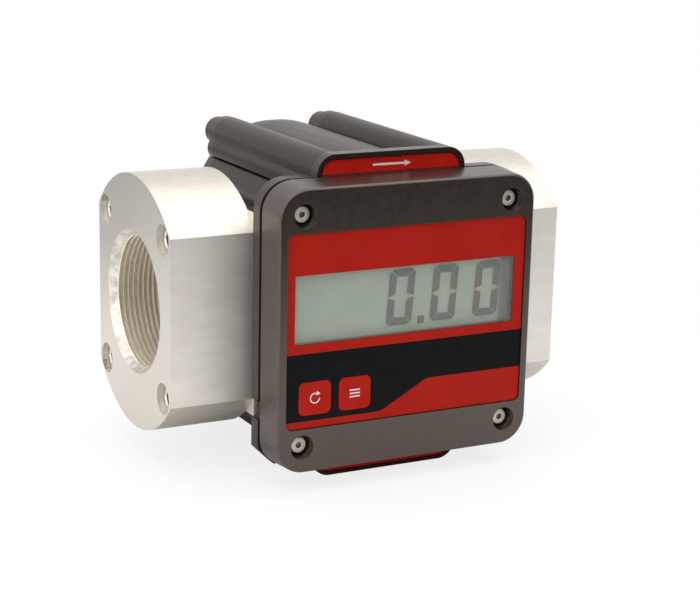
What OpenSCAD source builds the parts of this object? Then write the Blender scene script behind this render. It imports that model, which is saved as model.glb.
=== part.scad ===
// Electronic flow meter for oil: two threaded flanges, an extruded rotor housing, a square display head.
// X runs with the flow and starts at the inlet face. Y points away from the display. Z is up.
// The flow axis is the X axis.

/* [Flow passage] */
// Outer diameter of the pipe thread
thread_major_d = 59.6; // [58.5:0.1:60.5]
// Inner diameter of the inlet thread, near the lower limit of its tolerance
inlet_minor_d = 56.68; // [56.66:0.01:57.3]
// Inner diameter of the outlet thread, near the upper limit of its tolerance
outlet_minor_d = 57.28; // [56.66:0.01:57.3]
// Distance from one turn to the next
thread_pitch = 2.309; // [1.8:0.001:2.5]
// Turns of thread in each flange
thread_turns = 11; // [6:1:12]
// Diameter of the chamfer at the mouth of the thread
mouth_d = 62; // [61:0.5:65]
// Depth of that chamfer
mouth_depth = 3.6; // [2:0.1:5]
// Diameter of the passage from the thread to the rotors
passage_d = 44; // [38:1:44]

/* [Flanges] */
// Length of a flange along the flow axis
flange_l = 52.5; // [45:0.5:60]
// Diameter of the round part of a flange
flange_d = 110; // [109:0.5:116]
// Width of a flange across its two flats
flats_w = 84; // [83:0.5:88]
// Height of the square foot that meets the body
foot_h = 87; // [85:0.5:90]
// Thickness of that foot
foot_t = 15; // [8:0.5:20]
// Chamfer on the rim of the outer face
rim_chamfer = 0.6; // [0.2:0.1:1]
// Distance from the middle of a flange screw to the nearest flat, at least
flange_screw_edge = 8.4; // [8:0.1:10]
// Distance from the middle of a flange screw to the rim, at least
flange_screw_rim = 7.48; // [7.4:0.02:10]
// Diameter of a flange screw
flange_screw_d = 8; // [6:0.5:8]
// Diameter of its head
flange_head_d = 13; // [12:0.5:13]
// Height of its head
flange_head_h = 8; // [5:0.5:9]
// Distance that the head lies below the outer face
flange_head_sink = 2.5; // [1:0.1:5]
// Length of the screw in the body wall
flange_screw_grip = 4.5; // [3:0.1:5]

/* [Body] */
// Thickness of the body wall beside a rotor
body_wall = 6; // [5.5:0.1:8]
// Length of the extruded body, front to back
body_l = 100; // [99:0.5:104]
// Distance from the flow axis to the front end of the body
body_front_reach = 50.5; // [50:0.5:53]
// Distance of the crest over each rotor from the plane of the side wall
crest_inset = 0.2; // [0.1:0.1:1]
// Height above the flow axis at which the side wall turns inward
shoulder_z = 42.5; // [41:0.5:44]
// Height of the ridge above the flow axis
ridge_z = 50; // [49:0.5:51]
// Distance of the ridge from the middle of the body
ridge_x = 34; // [33:0.5:35]
// Distance of a tie bolt from the middle of the body
tie_x = 26.5; // [26:0.25:27]
// Height of a tie bolt above the flow axis
tie_z = 60.6; // [60:0.1:61]
// Radius of the boss round a tie bolt
boss_r = 8.1; // [7.6:0.1:8.4]
// Radius of the lobe below that boss
lobe_r = 6.1; // [5.5:0.1:6.4]
// Distance of the lobe from the middle of the body
lobe_x = 29.6; // [29:0.1:30]
// Height of the lobe above the flow axis
lobe_z = 54.2; // [53.5:0.1:54.5]
// Width of the groove between the lobe and the ridge
groove_w = 1.8; // [1:0.1:2.2]
// Depth of that groove
groove_depth = 4; // [2:0.5:5]

/* [Covers] */
// Thickness of the front cover
front_cover_t = 6.5; // [6:0.1:8]
// Width of the display seat on the front cover
head_w = 120; // [118:0.5:122]
// Corner radius of that seat
head_corner_r = 13; // [11:0.5:14]
// Size of the straight cuts at its two lower corners
seat_cut = 7.5; // [7:0.5:10]
// Height of the notch in its left side
side_notch_h = 8; // [7:0.5:10]
// Depth of that notch
side_notch_depth = 2.5; // [1:0.1:3]
// Height of the middle of the notch above the lower edge of the seat
side_notch_rise = 24; // [22:0.25:26]
// Width of the rim round the upper label
upper_rim_w = 2.3; // [2:0.1:3.5]
// Width of the rim round the lower label
lower_rim_w = 1.5; // [1:0.1:3]
// Depth of the recess that holds a label
label_recess = 0.9; // [0.7:0.1:1.2]
// Thickness of a label
label_t = 0.3; // [0.2:0.05:0.5]
// Thickness of the part of the rear cover that has the body outline
rear_plate_t = 5.5; // [5:0.1:6]
// Thickness of the raised part behind it
rear_cap_t = 9; // [8:0.5:11]
// Step from the body outline in to the raised part
rear_step = 1.7; // [1.4:0.1:1.8]
// Diameter of a tie bolt
tie_d = 5; // [4:0.5:5]
// Diameter of the head of a tie bolt
tie_head_d = 8.5; // [8:0.5:8.5]
// Height of the head of a tie bolt
tie_head_h = 5; // [4:0.5:6]

/* [Rotors] */
// Distance between the two rotor shafts
shaft_span = 52; // [51:0.1:52]
// How far a lobe rises above the pitch circle
rotor_swing = 7.8; // [6:0.1:7.8]
// Length of a rotor
rotor_l = 59.8; // [58:0.1:59.8]
// Length of the measuring chamber
chamber_l = 60; // [60:0.1:62]
// Distance from the flow axis to the front end of the chamber
chamber_front_reach = 34; // [33:0.1:35]
// Gap between the two rotors
rotor_gap = 0.3; // [0.25:0.01:0.4]
// Gap between a rotor tip and the chamber wall
tip_gap = 0.35; // [0.3:0.01:0.5]
// Diameter of a rotor shaft
shaft_d = 12; // [10:0.5:13]
// Outer diameter of a bush
bush_d = 16; // [15.5:0.5:18]
// Length of a front or rear bush
bush_l = 12; // [10:0.5:13]
// Diameter of a rotor magnet
magnet_d = 6; // [5:0.5:6]
// Length of a rotor magnet
magnet_l = 5; // [4:0.5:8]
// Distance of a magnet from the shaft
magnet_r = 22; // [20:0.5:24]

/* [Timing gears] */
// Number of teeth on each timing gear
gear_teeth = 26; // [24:1:30]
// Width of a timing gear
gear_w = 9; // [7:0.5:9]
// Pressure angle of the teeth
pressure_angle = 20; // [18:0.5:22]
// Play between the teeth at the pitch circle
gear_backlash = 0.3; // [0.2:0.02:0.4]
// Thickness of the bearing plate between the rotors and the gears
plate_t = 10; // [9:0.5:11]
// Space for the gears behind that plate
gear_space = 11; // [11:0.5:12]
// Wall between the gear space and the body
skirt_t = 2.5; // [2:0.5:3]

/* [Display head] */
// Depth of the bezel, front to back
bezel_depth = 15.5; // [15.2:0.1:18]
// Thickness of the gasket behind the bezel
gasket_t = 2; // [1.8:0.1:3]
// How far the gasket lies inside the sides of the bezel
gasket_inset = 1; // [0.5:0.1:1.5]
// How far each side of the bezel leans in towards the front
bezel_draft = 1; // [0.6:0.1:1.6]
// Radius of the front edge of the bezel
bezel_edge_r = 1.2; // [1:0.1:2.5]
// Thickness of the side walls of the bezel
bezel_wall = 3.5; // [3:0.1:4]
// Thickness of the front wall of the bezel under the overlay
bezel_front_t = 3; // [2.8:0.1:3.3]
// Depth of the recess that the overlay lies in
overlay_recess = 1; // [0.6:0.1:1.2]
// Distance from the left and right sides of the bezel to the overlay
overlay_side = 4.75; // [4:0.25:6]
// Distance from the top and bottom of the bezel to the overlay
overlay_end = 19.65; // [19:0.05:21]
// Thickness of the overlay
overlay_t = 0.3; // [0.2:0.05:0.4]
// Distance from the sides of the overlay to the display window
window_side = 4.1; // [3.8:0.1:6]
// Height of the display window
window_h = 28.5; // [26:0.1:29]
// Height of the middle of the window above the flow axis
window_z = 9.4; // [9:0.1:11]
// Distance of a bezel screw from the outside of the bezel, both ways
bezel_screw_edge = 12; // [11.5:0.1:12.5]
// Diameter of a bezel screw
bezel_screw_d = 4; // [3:0.5:4]
// Diameter of the head of a bezel screw
bezel_head_d = 7; // [6.5:0.1:7.5]
// Height of the head of a bezel screw
bezel_head_h = 2.2; // [2:0.1:3]
// Diameter of the recess round that head
bezel_head_recess_d = 10.2; // [9.5:0.1:11.5]
// Distance from the front face of the bezel down to that head
bezel_head_sink = 3.3; // [2.5:0.1:3.5]

/* [Keys] */
// Width of a key pad
key_w = 14.6; // [14:0.1:15]
// Height of a key pad
key_h = 14; // [13.5:0.1:15]
// Corner radius of a key pad
key_corner_r = 2.6; // [1.8:0.1:3]
// Distance between the middles of the two keys
key_pitch = 18.2; // [18:0.1:19]
// Distance of the left key from the left side of the overlay
key_edge = 12.95; // [12.5:0.05:15]
// Height of the middle of a key above the lower side of the overlay
key_rise = 12.35; // [12:0.05:13.5]
// Travel of a key
key_travel = 0.6; // [0.4:0.1:0.7]
// Diameter of the stem of a key
key_stem_d = 5; // [4:0.5:6]

/* [Electronics] */
// Gap between the circuit board and the side walls of the bezel
board_gap = 4.5; // [4:0.5:6]
// Thickness of the circuit board
board_t = 1.6; // [1:0.1:1.6]
// Thickness of the display glass
glass_t = 2.8; // [2:0.1:3]
// How far the display glass reaches past the window on each side
glass_margin = 2.8; // [2:0.1:3]
// Diameter of a battery
battery_d = 10.5; // [10:0.1:10.5]
// Length of a battery
battery_l = 44.5; // [44:0.1:45]
// Diameter of the pulse sensor
sensor_d = 7.6; // [6:0.1:8]

/* [Hidden] */
$fn = 96;

// Small values shared by several pieces
// Overrun of every cut past the face that it opens
overrun = 1;
// Slip fit between a plug and its bore
slip_gap = 0.05;
// Running gap round a shaft
running_gap = 0.05;
// Gap round a screw in its clearance hole
screw_gap = 0.4;
// Gap round a screw head in its counterbore
head_gap = 0.5;
// Gap round a moving key
key_gap = 0.3;
// Gap round a key stem
stem_gap = 0.2;
// Gap round a thin piece in its recess
inlay_gap = 0.2;
// Step at the seam between the body and the rear cover
seam_step = 0.2;
// Width and depth of the groove for a seal
seal_groove_w = 2.4;
seal_groove_depth = 2;

// Places worked out from the sizes above
axis_z = shaft_span / 2;
pitch_r = shaft_span / 2;
chamber_r = pitch_r + rotor_swing - rotor_gap / 2 + tip_gap;
gear_bay_step = 1;
gear_bay_r = chamber_r + gear_bay_step;
shell_r = chamber_r + body_wall;
crest_r = shell_r - crest_inset;
mid_x = flange_l + shell_r;
overall_l = 2 * mid_x;
flange_screw_span = min(flats_w - 2 * flange_screw_edge, (flange_d - 2 * flange_screw_rim) / sqrt(2));
body_front = -body_front_reach;
body_rear = body_front + body_l;
chamber_front = -chamber_front_reach;
chamber_rear = chamber_front + chamber_l;
plate_rear = chamber_rear + plate_t;
gear_bay_rear = plate_rear + gear_space;
cover_front = body_front - front_cover_t;
plate_end = body_rear + rear_plate_t;
cover_rear = plate_end + rear_cap_t;
arch_w = 2 * (tie_x + boss_r);
arch_least_rise = 6;
arch_h = 2 * max(tie_z + boss_r, head_w / 2 + arch_least_rise);
rotor_play = (chamber_l - rotor_l) / 2;
rotor_front = chamber_front + rotor_play;
seal_track_r = (gear_bay_r + crest_r) / 2;

// Display head, front to back
gasket_front = cover_front - gasket_t;
bezel_front = gasket_front - bezel_depth;
overlay_floor = bezel_front + overlay_recess;
overlay_front = overlay_floor - overlay_t;
bezel_inside = overlay_floor + bezel_front_t;
board_pocket_depth = 2;
board_rear = cover_front;
board_front = board_rear - board_t;
board_notch = 11;
cavity_w = head_w - 2 * bezel_wall;
cavity_corner_r = head_corner_r - bezel_wall;
board_w = cavity_w - 2 * board_gap;
board_arm_w = board_w - 2 * board_notch;
board_pocket_gap = 1;
bezel_screw_reach = head_w / 2 - bezel_screw_edge;
overlay_w = head_w - 2 * overlay_side;
overlay_h = head_w - 2 * overlay_end;
window_w = overlay_w - 2 * window_side;
key_reach = overlay_w / 2 - key_edge;
glass_w = window_w + 2 * glass_margin;
glass_h = window_h + 2 * glass_margin;
glass_rear = bezel_inside + glass_t;
post_wall = 1;
post_d = bezel_head_recess_d + 2 * post_wall;
post_rib_w = 5;
blind_wall = 1;
bezel_screw_tip = body_front - blind_wall;
bezel_seat = bezel_front + bezel_head_sink + bezel_head_h;
overlay_z = 0.2;
overlay_corner_r = 2.5;
key_drop = overlay_h / 2 - overlay_z - key_rise;
window_x = -0.6;
pane_margin = 2;
pane_t = 1;

// Keys and switches
key_proud = 0.1;
lip_w = 0.8;
lip_t = 0.6;
lip_rest_gap = 0.3;
lip_front = overlay_floor + lip_rest_gap;
lip_rear = lip_front + lip_t;
key_floor_gap = 0.1;
key_pocket_floor = lip_rear + key_travel + key_floor_gap;
switch_w = 6.2;
switch_h = 3.6;
switch_front = board_front - switch_h;
plunger_d = 3.5;
plunger_gap = 0.15;
plunger_l = 4.6;
plunger_reach = 3;
plunger_front = switch_front - plunger_reach;
plunger_rear = plunger_front + plunger_l;
well_end_gap = 0.3;

// Carriers on the circuit board
board_screw_d = 2.5;
board_screw_head_d = 5.5;
board_screw_head_h = 1.6;
board_screw_l = 8;
board_boss_d = 7;
board_boss_step = 9;
board_boss_x = board_arm_w / 2 - board_boss_step;
board_boss_edge = 6;
board_boss_z = board_w / 2 - board_boss_edge;
frame_wall = 3;
frame_inset = 2.5;
holder_base_t = 1;
holder_wall = 1.2;
battery_gap = 0.2;
battery_pitch = battery_d + battery_gap + holder_wall;
battery_edge = 3;
frame_lower = window_z - glass_h / 2 + frame_inset;
boss_upper = board_boss_d / 2 - board_boss_z;
battery_z = (frame_lower + boss_upper) / 2;
battery_nub_d = 3.8;
battery_nub_l = 0.8;
battery_room = battery_l + battery_nub_l + battery_gap;
holder_floor = board_front - holder_base_t;
battery_x = (board_w - battery_room) / 2 - holder_wall - battery_edge;
sensor_x = magnet_r;
sensor_wall = 2.4;
sensor_gap = 0.2;

// Flange details
seal_margin = 4;
seal_face_r = passage_d / 2 + seal_margin;
counterbore_depth = flange_head_sink + flange_head_h;
thread_start = mouth_depth * (mouth_d - thread_major_d) / (mouth_d - inlet_minor_d);
thread_end = thread_start + thread_turns * thread_pitch;
crest_share = 0.2;
root_share = 0.16;
hex_share = 0.55;
notch_round_share = 0.9;
hex_depth_share = 0.6;
tie_thread_l = 4;

// Numbers of points on the worked-out outlines
rotor_points = 120;
flank_points = 4;

// A cylinder along X
module x_rod(d, x0, x1) {
    translate([x0, 0, 0]) rotate([0, 90, 0]) cylinder(d = d, h = x1 - x0);
}

// A cylinder along Y
module y_rod(d, y0, y1) {
    translate([0, y0, 0]) rotate([-90, 0, 0]) cylinder(d = d, h = y1 - y0);
}

// An outline drawn in X and Z, made solid from y0 to y1
module y_slab(y0, y1) {
    translate([0, y1, 0]) rotate([90, 0, 0]) linear_extrude(height = y1 - y0) children();
}

// A rectangle with round corners
module round_rect(w, h, r) {
    square([w - 2 * r, h], center = true);
    square([w, h - 2 * r], center = true);
    for (sx = [-1, 1]) for (sz = [-1, 1])
        translate([sx * (w / 2 - r), sz * (h / 2 - r)]) circle(r = r);
}

// The hexagon socket of a screw head, from y0 to y1
module y_socket(head_d, y0, y1) {
    translate([0, y0, 0]) rotate([-90, 0, 0]) cylinder(d = head_d * hex_share, h = y1 - y0, $fn = 6);
}

// Copies at the four tie bolts
module at_ties() {
    for (sx = [-1, 1]) for (sz = [-1, 1]) translate([mid_x + sx * tie_x, 0, sz * tie_z]) children();
}

// Copies at the two shafts
module at_shafts() {
    for (sz = [-1, 1]) translate([mid_x, 0, sz * axis_z]) children();
}

// Copies at the four bezel screws
module at_bezel_screws() {
    for (sx = [-1, 1]) for (sz = [-1, 1])
        translate([mid_x + sx * bezel_screw_reach, 0, sz * bezel_screw_reach]) children();
}

// Copies at the four board screws
module at_board_screws() {
    for (sx = [-1, 1]) for (sz = [-1, 1])
        translate([mid_x + sx * board_boss_x, 0, sz * board_boss_z]) children();
}

// Copies at the two keys
module at_keys() {
    for (k = [0, 1]) at_key(k) children();
}

// The place of one key, counted from the left
module at_key(k) {
    translate([mid_x - key_reach + k * key_pitch, 0, -key_drop]) children();
}

// The outline of the four posts round the bezel screws, with ribs out to the side walls
module post_outline() {
    rib = cavity_w / 2 - bezel_screw_reach + overrun;
    for (sx = [-1, 1]) for (sz = [-1, 1]) translate([sx * bezel_screw_reach, sz * bezel_screw_reach]) {
        circle(d = post_d);
        translate([sx * rib / 2, 0]) square([rib, post_rib_w], center = true);
        translate([0, sz * rib / 2]) square([post_rib_w, rib], center = true);
    }
}

// The outline of two bores that run into each other
module pair_outline(r) {
    for (sz = [-1, 1]) translate([0, sz * axis_z]) circle(r = r);
}

// The same outline with its waist filled
module track_outline(r) {
    pair_outline(r);
    square([2 * r, shaft_span], center = true);
}

// The ring that a seal lies in
module seal_track(w) {
    difference() {
        track_outline(seal_track_r + w / 2);
        track_outline(seal_track_r - w / 2);
    }
}

// The outline of the extruded body, drawn in by a step all round
module body_outline(step) {
    pair_outline(crest_r - step);
    polygon([
        for (sz = [1, -1]) for (p = [
            [shell_r - step, shoulder_z],
            [ridge_x - step, ridge_z - step],
            [-ridge_x + step, ridge_z - step],
            [-shell_r + step, shoulder_z]
        ]) sz * p
    ]);
    for (sx = [-1, 1]) for (sz = [-1, 1]) {
        translate([sx * tie_x, sz * tie_z]) circle(r = boss_r - step);
        translate([sx * lobe_x, sz * lobe_z]) circle(r = lobe_r - step);
    }
}

// The outline of the raised part of the rear cover
module cap_outline(step) {
    track_outline(crest_r - step);
    for (sx = [-1, 1]) for (sz = [-1, 1]) translate([sx * tie_x, sz * tie_z]) circle(r = boss_r - step);
}

// The outline of the display seat: round corners above, straight cuts below, a notch at the left
module seat_outline() {
    half = head_w / 2;
    difference() {
        intersection() {
            translate([0, -head_corner_r]) round_rect(head_w, head_w + 2 * head_corner_r, head_corner_r);
            polygon([
                [-half + seat_cut, -half],
                [half - seat_cut, -half],
                [half, -half + seat_cut],
                [half, half],
                [-half, half],
                [-half, -half + seat_cut]
            ]);
        }
        translate([-half, side_notch_rise - half])
            round_rect(2 * side_notch_depth, side_notch_h, side_notch_depth * notch_round_share);
    }
}

// The outline of a label, in the lobe above or below the display
module label_outline(side, gap) {
    inset = (side > 0 ? upper_rim_w : lower_rim_w) + gap;
    intersection() {
        round_rect(arch_w - 2 * inset, arch_h - 2 * inset, boss_r - inset);
        translate([-arch_w / 2, side > 0 ? head_w / 2 + gap : -arch_h])
            square([arch_w, arch_h - head_w / 2 - gap]);
    }
}

// The outline of the circuit board, cut away at the four bezel posts
module board_outline(gap) {
    square([board_w + 2 * gap, board_arm_w + 2 * gap], center = true);
    square([board_arm_w + 2 * gap, board_w + 2 * gap], center = true);
}

// One point of a rotor: the place where a wavy rack touches it, with the gap taken off
function wave_rise(u) = rotor_swing * cos(2 * u);
function wave_slope(u) = -2 * rotor_swing / pitch_r * sin(2 * u);
function turned(p, a) = [p[0] * cos(a) + p[1] * sin(a), p[1] * cos(a) - p[0] * sin(a)];
function rotor_point(u) =
    let (y = wave_rise(u), s = wave_slope(u), n = sqrt(1 + s * s))
    turned([-y * s + s / n * rotor_gap / 2, pitch_r + y - rotor_gap / 2 / n],
        u + y * s / pitch_r * 180 / PI);

// The outline of a two-lobed rotor that turns against its twin at a constant ratio
module rotor_outline() {
    polygon([for (i = [0 : rotor_points - 1]) rotor_point(-i * 360 / rotor_points)]);
}

// Involute spur gear
gear_module = shaft_span / gear_teeth;
gear_base_r = pitch_r * cos(pressure_angle);
gear_tip_r = pitch_r + gear_module;
root_depth_share = 1.25;
gear_root_r = pitch_r - root_depth_share * gear_module;
function involute(a) = tan(a) - a * PI / 180;
function pressure_at(r) = acos(min(1, gear_base_r / r));
tooth_half = (90 / gear_teeth) - gear_backlash / 4 / pitch_r * 180 / PI;
function flank_angle(r) = tooth_half + (involute(pressure_angle) - involute(pressure_at(r))) * 180 / PI;
function flank_r(i) = gear_base_r + (gear_tip_r - gear_base_r) * i / flank_points;
function polar(r, a) = [r * cos(a), r * sin(a)];
function tooth(a) = concat(
    [polar(gear_root_r, a - flank_angle(gear_base_r))],
    [for (i = [0 : flank_points]) polar(flank_r(i), a - flank_angle(flank_r(i)))],
    [for (i = [flank_points : -1 : 0]) polar(flank_r(i), a + flank_angle(flank_r(i)))],
    [polar(gear_root_r, a + flank_angle(gear_base_r))]
);

module gear_outline(turn) {
    polygon([for (k = [0 : gear_teeth - 1]) each tooth(turn + k * 360 / gear_teeth)]);
}

// Rotor housing

module meter_body() {
    color([0.2, 0.19, 0.18]) difference() {
        translate([mid_x, 0, 0]) difference() {
            y_slab(body_front, body_rear) body_outline(0);
            y_slab(body_front - overrun, chamber_rear + overrun) pair_outline(chamber_r);
            y_slab(chamber_rear, body_rear + overrun) pair_outline(gear_bay_r);
            x_rod(passage_d, -shell_r - overrun, shell_r + overrun);
            body_grooves();
        }
        at_ties() y_rod(tie_d + 2 * screw_gap, body_front - overrun, body_rear + overrun);
        for (side = [-1, 1]) at_flange(side) at_flange_screws()
            x_rod(flange_screw_d, flange_l - overrun, flange_l + flange_screw_grip);
    }
}

// The grooves that run the length of the body between the lobes and the ridges
module body_grooves() {
    for (sx = [-1, 1]) for (sz = [-1, 1])
        translate([sx * (ridge_x + (overrun - groove_depth) / 2), 0, sz * (ridge_z + groove_w / 2)])
            y_slab(body_front - overrun, body_rear + overrun)
                square([groove_depth + overrun, groove_w], center = true);
}

module front_cover() {
    color([0.1, 0.1, 0.1]) difference() {
        translate([mid_x, 0, 0]) {
            y_slab(cover_front, body_front) seat_outline();
            y_slab(cover_front, body_front) round_rect(arch_w, arch_h, boss_r);
            y_slab(cover_front + board_pocket_depth, chamber_front) pair_outline(chamber_r - slip_gap);
        }
        translate([mid_x, 0, 0]) {
            for (side = [-1, 1]) y_slab(cover_front - overrun, cover_front + label_recess)
                label_outline(side, 0);
            y_slab(cover_front - overrun, cover_front + board_pocket_depth) board_outline(board_pocket_gap);
            y_slab(body_front - seal_groove_depth, body_front) seal_track(seal_groove_w);
        }
        at_shafts() y_rod(bush_d, chamber_front - bush_l, chamber_front + overrun);
        at_ties() y_rod(tie_d, body_front - tie_thread_l, body_front + overrun);
        at_bezel_screws() y_rod(bezel_screw_d, cover_front - overrun, bezel_screw_tip);
        translate([mid_x + sensor_x, 0, axis_z])
            y_rod(sensor_d + 2 * sensor_gap, cover_front, chamber_front - sensor_wall);
    }
}

module rear_cover() {
    color([0.17, 0.16, 0.15]) difference() {
        translate([mid_x, 0, 0]) difference() {
            union() {
                y_slab(body_rear, plate_end) body_outline(seam_step);
                y_slab(plate_end, cover_rear) cap_outline(rear_step);
                y_slab(gear_bay_rear, body_rear) pair_outline(gear_bay_r - slip_gap);
                y_slab(plate_rear, gear_bay_rear) difference() {
                    pair_outline(gear_bay_r - slip_gap);
                    pair_outline(gear_bay_r - skirt_t);
                }
            }
            y_slab(body_rear, body_rear + seal_groove_depth) seal_track(seal_groove_w);
        }
        at_shafts() y_rod(bush_d, gear_bay_rear - overrun, gear_bay_rear + bush_l);
        at_ties() y_rod(tie_d + 2 * screw_gap, body_rear - overrun, cover_rear + overrun);
        at_ties() y_rod(tie_head_d + head_gap, cover_rear - tie_head_h, cover_rear + overrun);
    }
}

module front_seal() {
    color([0.05, 0.05, 0.05]) translate([mid_x, 0, 0])
        y_slab(body_front - seal_groove_depth, body_front) seal_track(seal_groove_w);
}

module rear_seal() {
    color([0.05, 0.05, 0.05]) translate([mid_x, 0, 0])
        y_slab(body_rear, body_rear + seal_groove_depth) seal_track(seal_groove_w);
}

module tie_bolts() {
    color([0.7, 0.7, 0.7]) at_ties() difference() {
        union() {
            y_rod(tie_d, body_front - tie_thread_l, cover_rear - tie_head_h);
            y_rod(tie_head_d, cover_rear - tie_head_h, cover_rear);
        }
        y_socket(tie_head_d, cover_rear - tie_head_h * hex_depth_share, cover_rear + overrun);
    }
}

// Flanges

// Puts a flange, drawn from its outer face inward, at the inlet or at the outlet
module at_flange(side) {
    if (side < 0) children();
    else translate([overall_l, 0, 0]) mirror([1, 0, 0]) children();
}

// Copies at the four screws of a flange
module at_flange_screws() {
    for (sy = [-1, 1]) for (sz = [-1, 1])
        translate([0, sy * flange_screw_span / 2, sz * flange_screw_span / 2]) children();
}

// The turns of the thread, each a groove between two narrow crests
module thread_grooves(minor_r) {
    crest = thread_pitch * crest_share / 2;
    root = thread_pitch * root_share / 2;
    major_r = thread_major_d / 2;
    rotate([0, 90, 0]) for (i = [0 : thread_turns - 1])
        translate([0, 0, thread_start + i * thread_pitch]) rotate_extrude() polygon([
            [minor_r - overrun, crest],
            [minor_r, crest],
            [major_r, thread_pitch / 2 - root],
            [major_r, thread_pitch / 2 + root],
            [minor_r, thread_pitch - crest],
            [minor_r - overrun, thread_pitch - crest]
        ]);
}

module flange(minor_d) {
    color([0.8, 0.79, 0.77]) difference() {
        union() {
            intersection() {
                rotate([0, 90, 0]) rotate_extrude() polygon([
                    [0, 0],
                    [flange_d / 2 - rim_chamfer, 0],
                    [flange_d / 2, rim_chamfer],
                    [flange_d / 2, flange_l - foot_t],
                    [0, flange_l - foot_t]
                ]);
                translate([0, -flats_w / 2, -flange_d / 2]) cube([flange_l, flats_w, flange_d]);
            }
            translate([flange_l - foot_t, -flats_w / 2, -foot_h / 2]) cube([foot_t, flats_w, foot_h]);
        }
        x_rod(minor_d, -overrun, thread_end);
        thread_grooves(minor_d / 2);
        rotate([0, 90, 0]) cylinder(d1 = mouth_d, d2 = minor_d, h = mouth_depth);
        x_rod(passage_d, thread_end - overrun, flange_l + overrun);
        at_flange_screws() {
            x_rod(flange_head_d + head_gap, -overrun, counterbore_depth);
            x_rod(flange_screw_d + 2 * screw_gap, -overrun, flange_l + overrun);
        }
        face_seal(seal_groove_w);
    }
}

// The ring between a flange and the body
module face_seal(w) {
    difference() {
        x_rod(2 * seal_face_r + w, flange_l - seal_groove_depth, flange_l);
        x_rod(2 * seal_face_r - w, flange_l - seal_groove_depth - overrun, flange_l + overrun);
    }
}

module flange_screws() {
    socket_end = flange_head_sink + flange_head_h * hex_depth_share;
    color([0.75, 0.75, 0.75]) at_flange_screws() difference() {
        union() {
            x_rod(flange_head_d, flange_head_sink, counterbore_depth);
            x_rod(flange_screw_d, counterbore_depth, flange_l + flange_screw_grip);
        }
        rotate([0, 90, 0]) cylinder(d = flange_head_d * hex_share, h = socket_end, $fn = 6);
    }
}

module inlet_flange() at_flange(-1) flange(inlet_minor_d);

module outlet_flange() at_flange(1) flange(outlet_minor_d);

module inlet_screws() at_flange(-1) flange_screws();

module outlet_screws() at_flange(1) flange_screws();

module inlet_seal() color([0.05, 0.05, 0.05]) at_flange(-1) face_seal(seal_groove_w);

module outlet_seal() color([0.05, 0.05, 0.05]) at_flange(1) face_seal(seal_groove_w);

// Rotors, shafts and gears

module bearing_plate() {
    color([0.75, 0.74, 0.72]) difference() {
        translate([mid_x, 0, 0]) y_slab(chamber_rear, plate_rear) pair_outline(gear_bay_r - slip_gap);
        at_shafts() y_rod(bush_d, chamber_rear - overrun, plate_rear + overrun);
    }
}

// Plain bushes from y0 to y1 on both shafts
module bushes(y0, y1) {
    color([0.72, 0.5, 0.25]) at_shafts() difference() {
        y_rod(bush_d, y0, y1);
        y_rod(shaft_d + 2 * running_gap, y0 - overrun, y1 + overrun);
    }
}

module front_bushes() bushes(chamber_front - bush_l, chamber_front);

module middle_bushes() bushes(chamber_rear, plate_rear);

module rear_bushes() bushes(gear_bay_rear, gear_bay_rear + bush_l);

module rotor() {
    difference() {
        y_slab(rotor_front, rotor_front + rotor_l) rotor_outline();
        y_rod(shaft_d, rotor_front - overrun, rotor_front + rotor_l + overrun);
    }
}

module upper_rotor() {
    color([0.55, 0.56, 0.58]) difference() {
        translate([mid_x, 0, axis_z]) rotate([0, 90, 0]) rotor();
        magnet_pair(rotor_front - overrun);
    }
}

module lower_rotor() {
    color([0.5, 0.51, 0.53]) translate([mid_x, 0, -axis_z]) rotor();
}

// Two magnets in the front face of the upper rotor
module magnet_pair(y0) {
    for (sx = [-1, 1]) translate([mid_x + sx * magnet_r, 0, axis_z])
        y_rod(magnet_d, y0, rotor_front + magnet_l);
}

module rotor_magnets() color([0.35, 0.35, 0.38]) magnet_pair(rotor_front);

module shaft() y_rod(shaft_d, chamber_front - bush_l + rotor_play, gear_bay_rear + bush_l - rotor_play);

module upper_shaft() color([0.8, 0.8, 0.82]) translate([mid_x, 0, axis_z]) shaft();

module lower_shaft() color([0.8, 0.8, 0.82]) translate([mid_x, 0, -axis_z]) shaft();

module timing_gear(turn) {
    gear_front = plate_rear + (gear_space - gear_w) / 2;
    color([0.65, 0.6, 0.5]) difference() {
        y_slab(gear_front, gear_front + gear_w) gear_outline(turn);
        y_rod(shaft_d, gear_front - overrun, gear_front + gear_w + overrun);
    }
}

module upper_timing_gear() translate([mid_x, 0, axis_z]) timing_gear(-90);

module lower_timing_gear() translate([mid_x, 0, -axis_z]) timing_gear(90 + 180 / gear_teeth);

// Labels

module label(side) {
    label_rear = cover_front + label_recess;
    color([0.72, 0.1, 0.1]) translate([mid_x, 0, 0])
        y_slab(label_rear - label_t, label_rear) label_outline(side, inlay_gap);
}

module upper_label() label(1);

module lower_label() label(-1);

// Display head

module display_gasket() {
    color([0.05, 0.05, 0.05]) difference() {
        union() {
            translate([mid_x, 0, 0]) y_slab(gasket_front, cover_front) difference() {
                round_rect(head_w - 2 * gasket_inset, head_w - 2 * gasket_inset,
                    head_corner_r - gasket_inset);
                round_rect(cavity_w, cavity_w, cavity_corner_r);
            }
            translate([mid_x, 0, 0]) y_slab(gasket_front, cover_front) post_outline();
        }
        at_bezel_screws()
            y_rod(bezel_screw_d + 2 * screw_gap, gasket_front - overrun, cover_front + overrun);
    }
}

// The section of one corner of the bezel, turned about the corner axis
module bezel_corner() {
    rise = bezel_depth - bezel_edge_r;
    front_r = head_corner_r - bezel_draft;
    translate([0, gasket_front, 0]) rotate([90, 0, 0]) rotate_extrude($fn = 48) polygon([
        [0, 0],
        [head_corner_r, 0],
        for (a = [0 : 15 : 90])
            [front_r - bezel_edge_r * (1 - cos(a)), rise + bezel_edge_r * sin(a)],
        [0, bezel_depth]
    ]);
}

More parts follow.
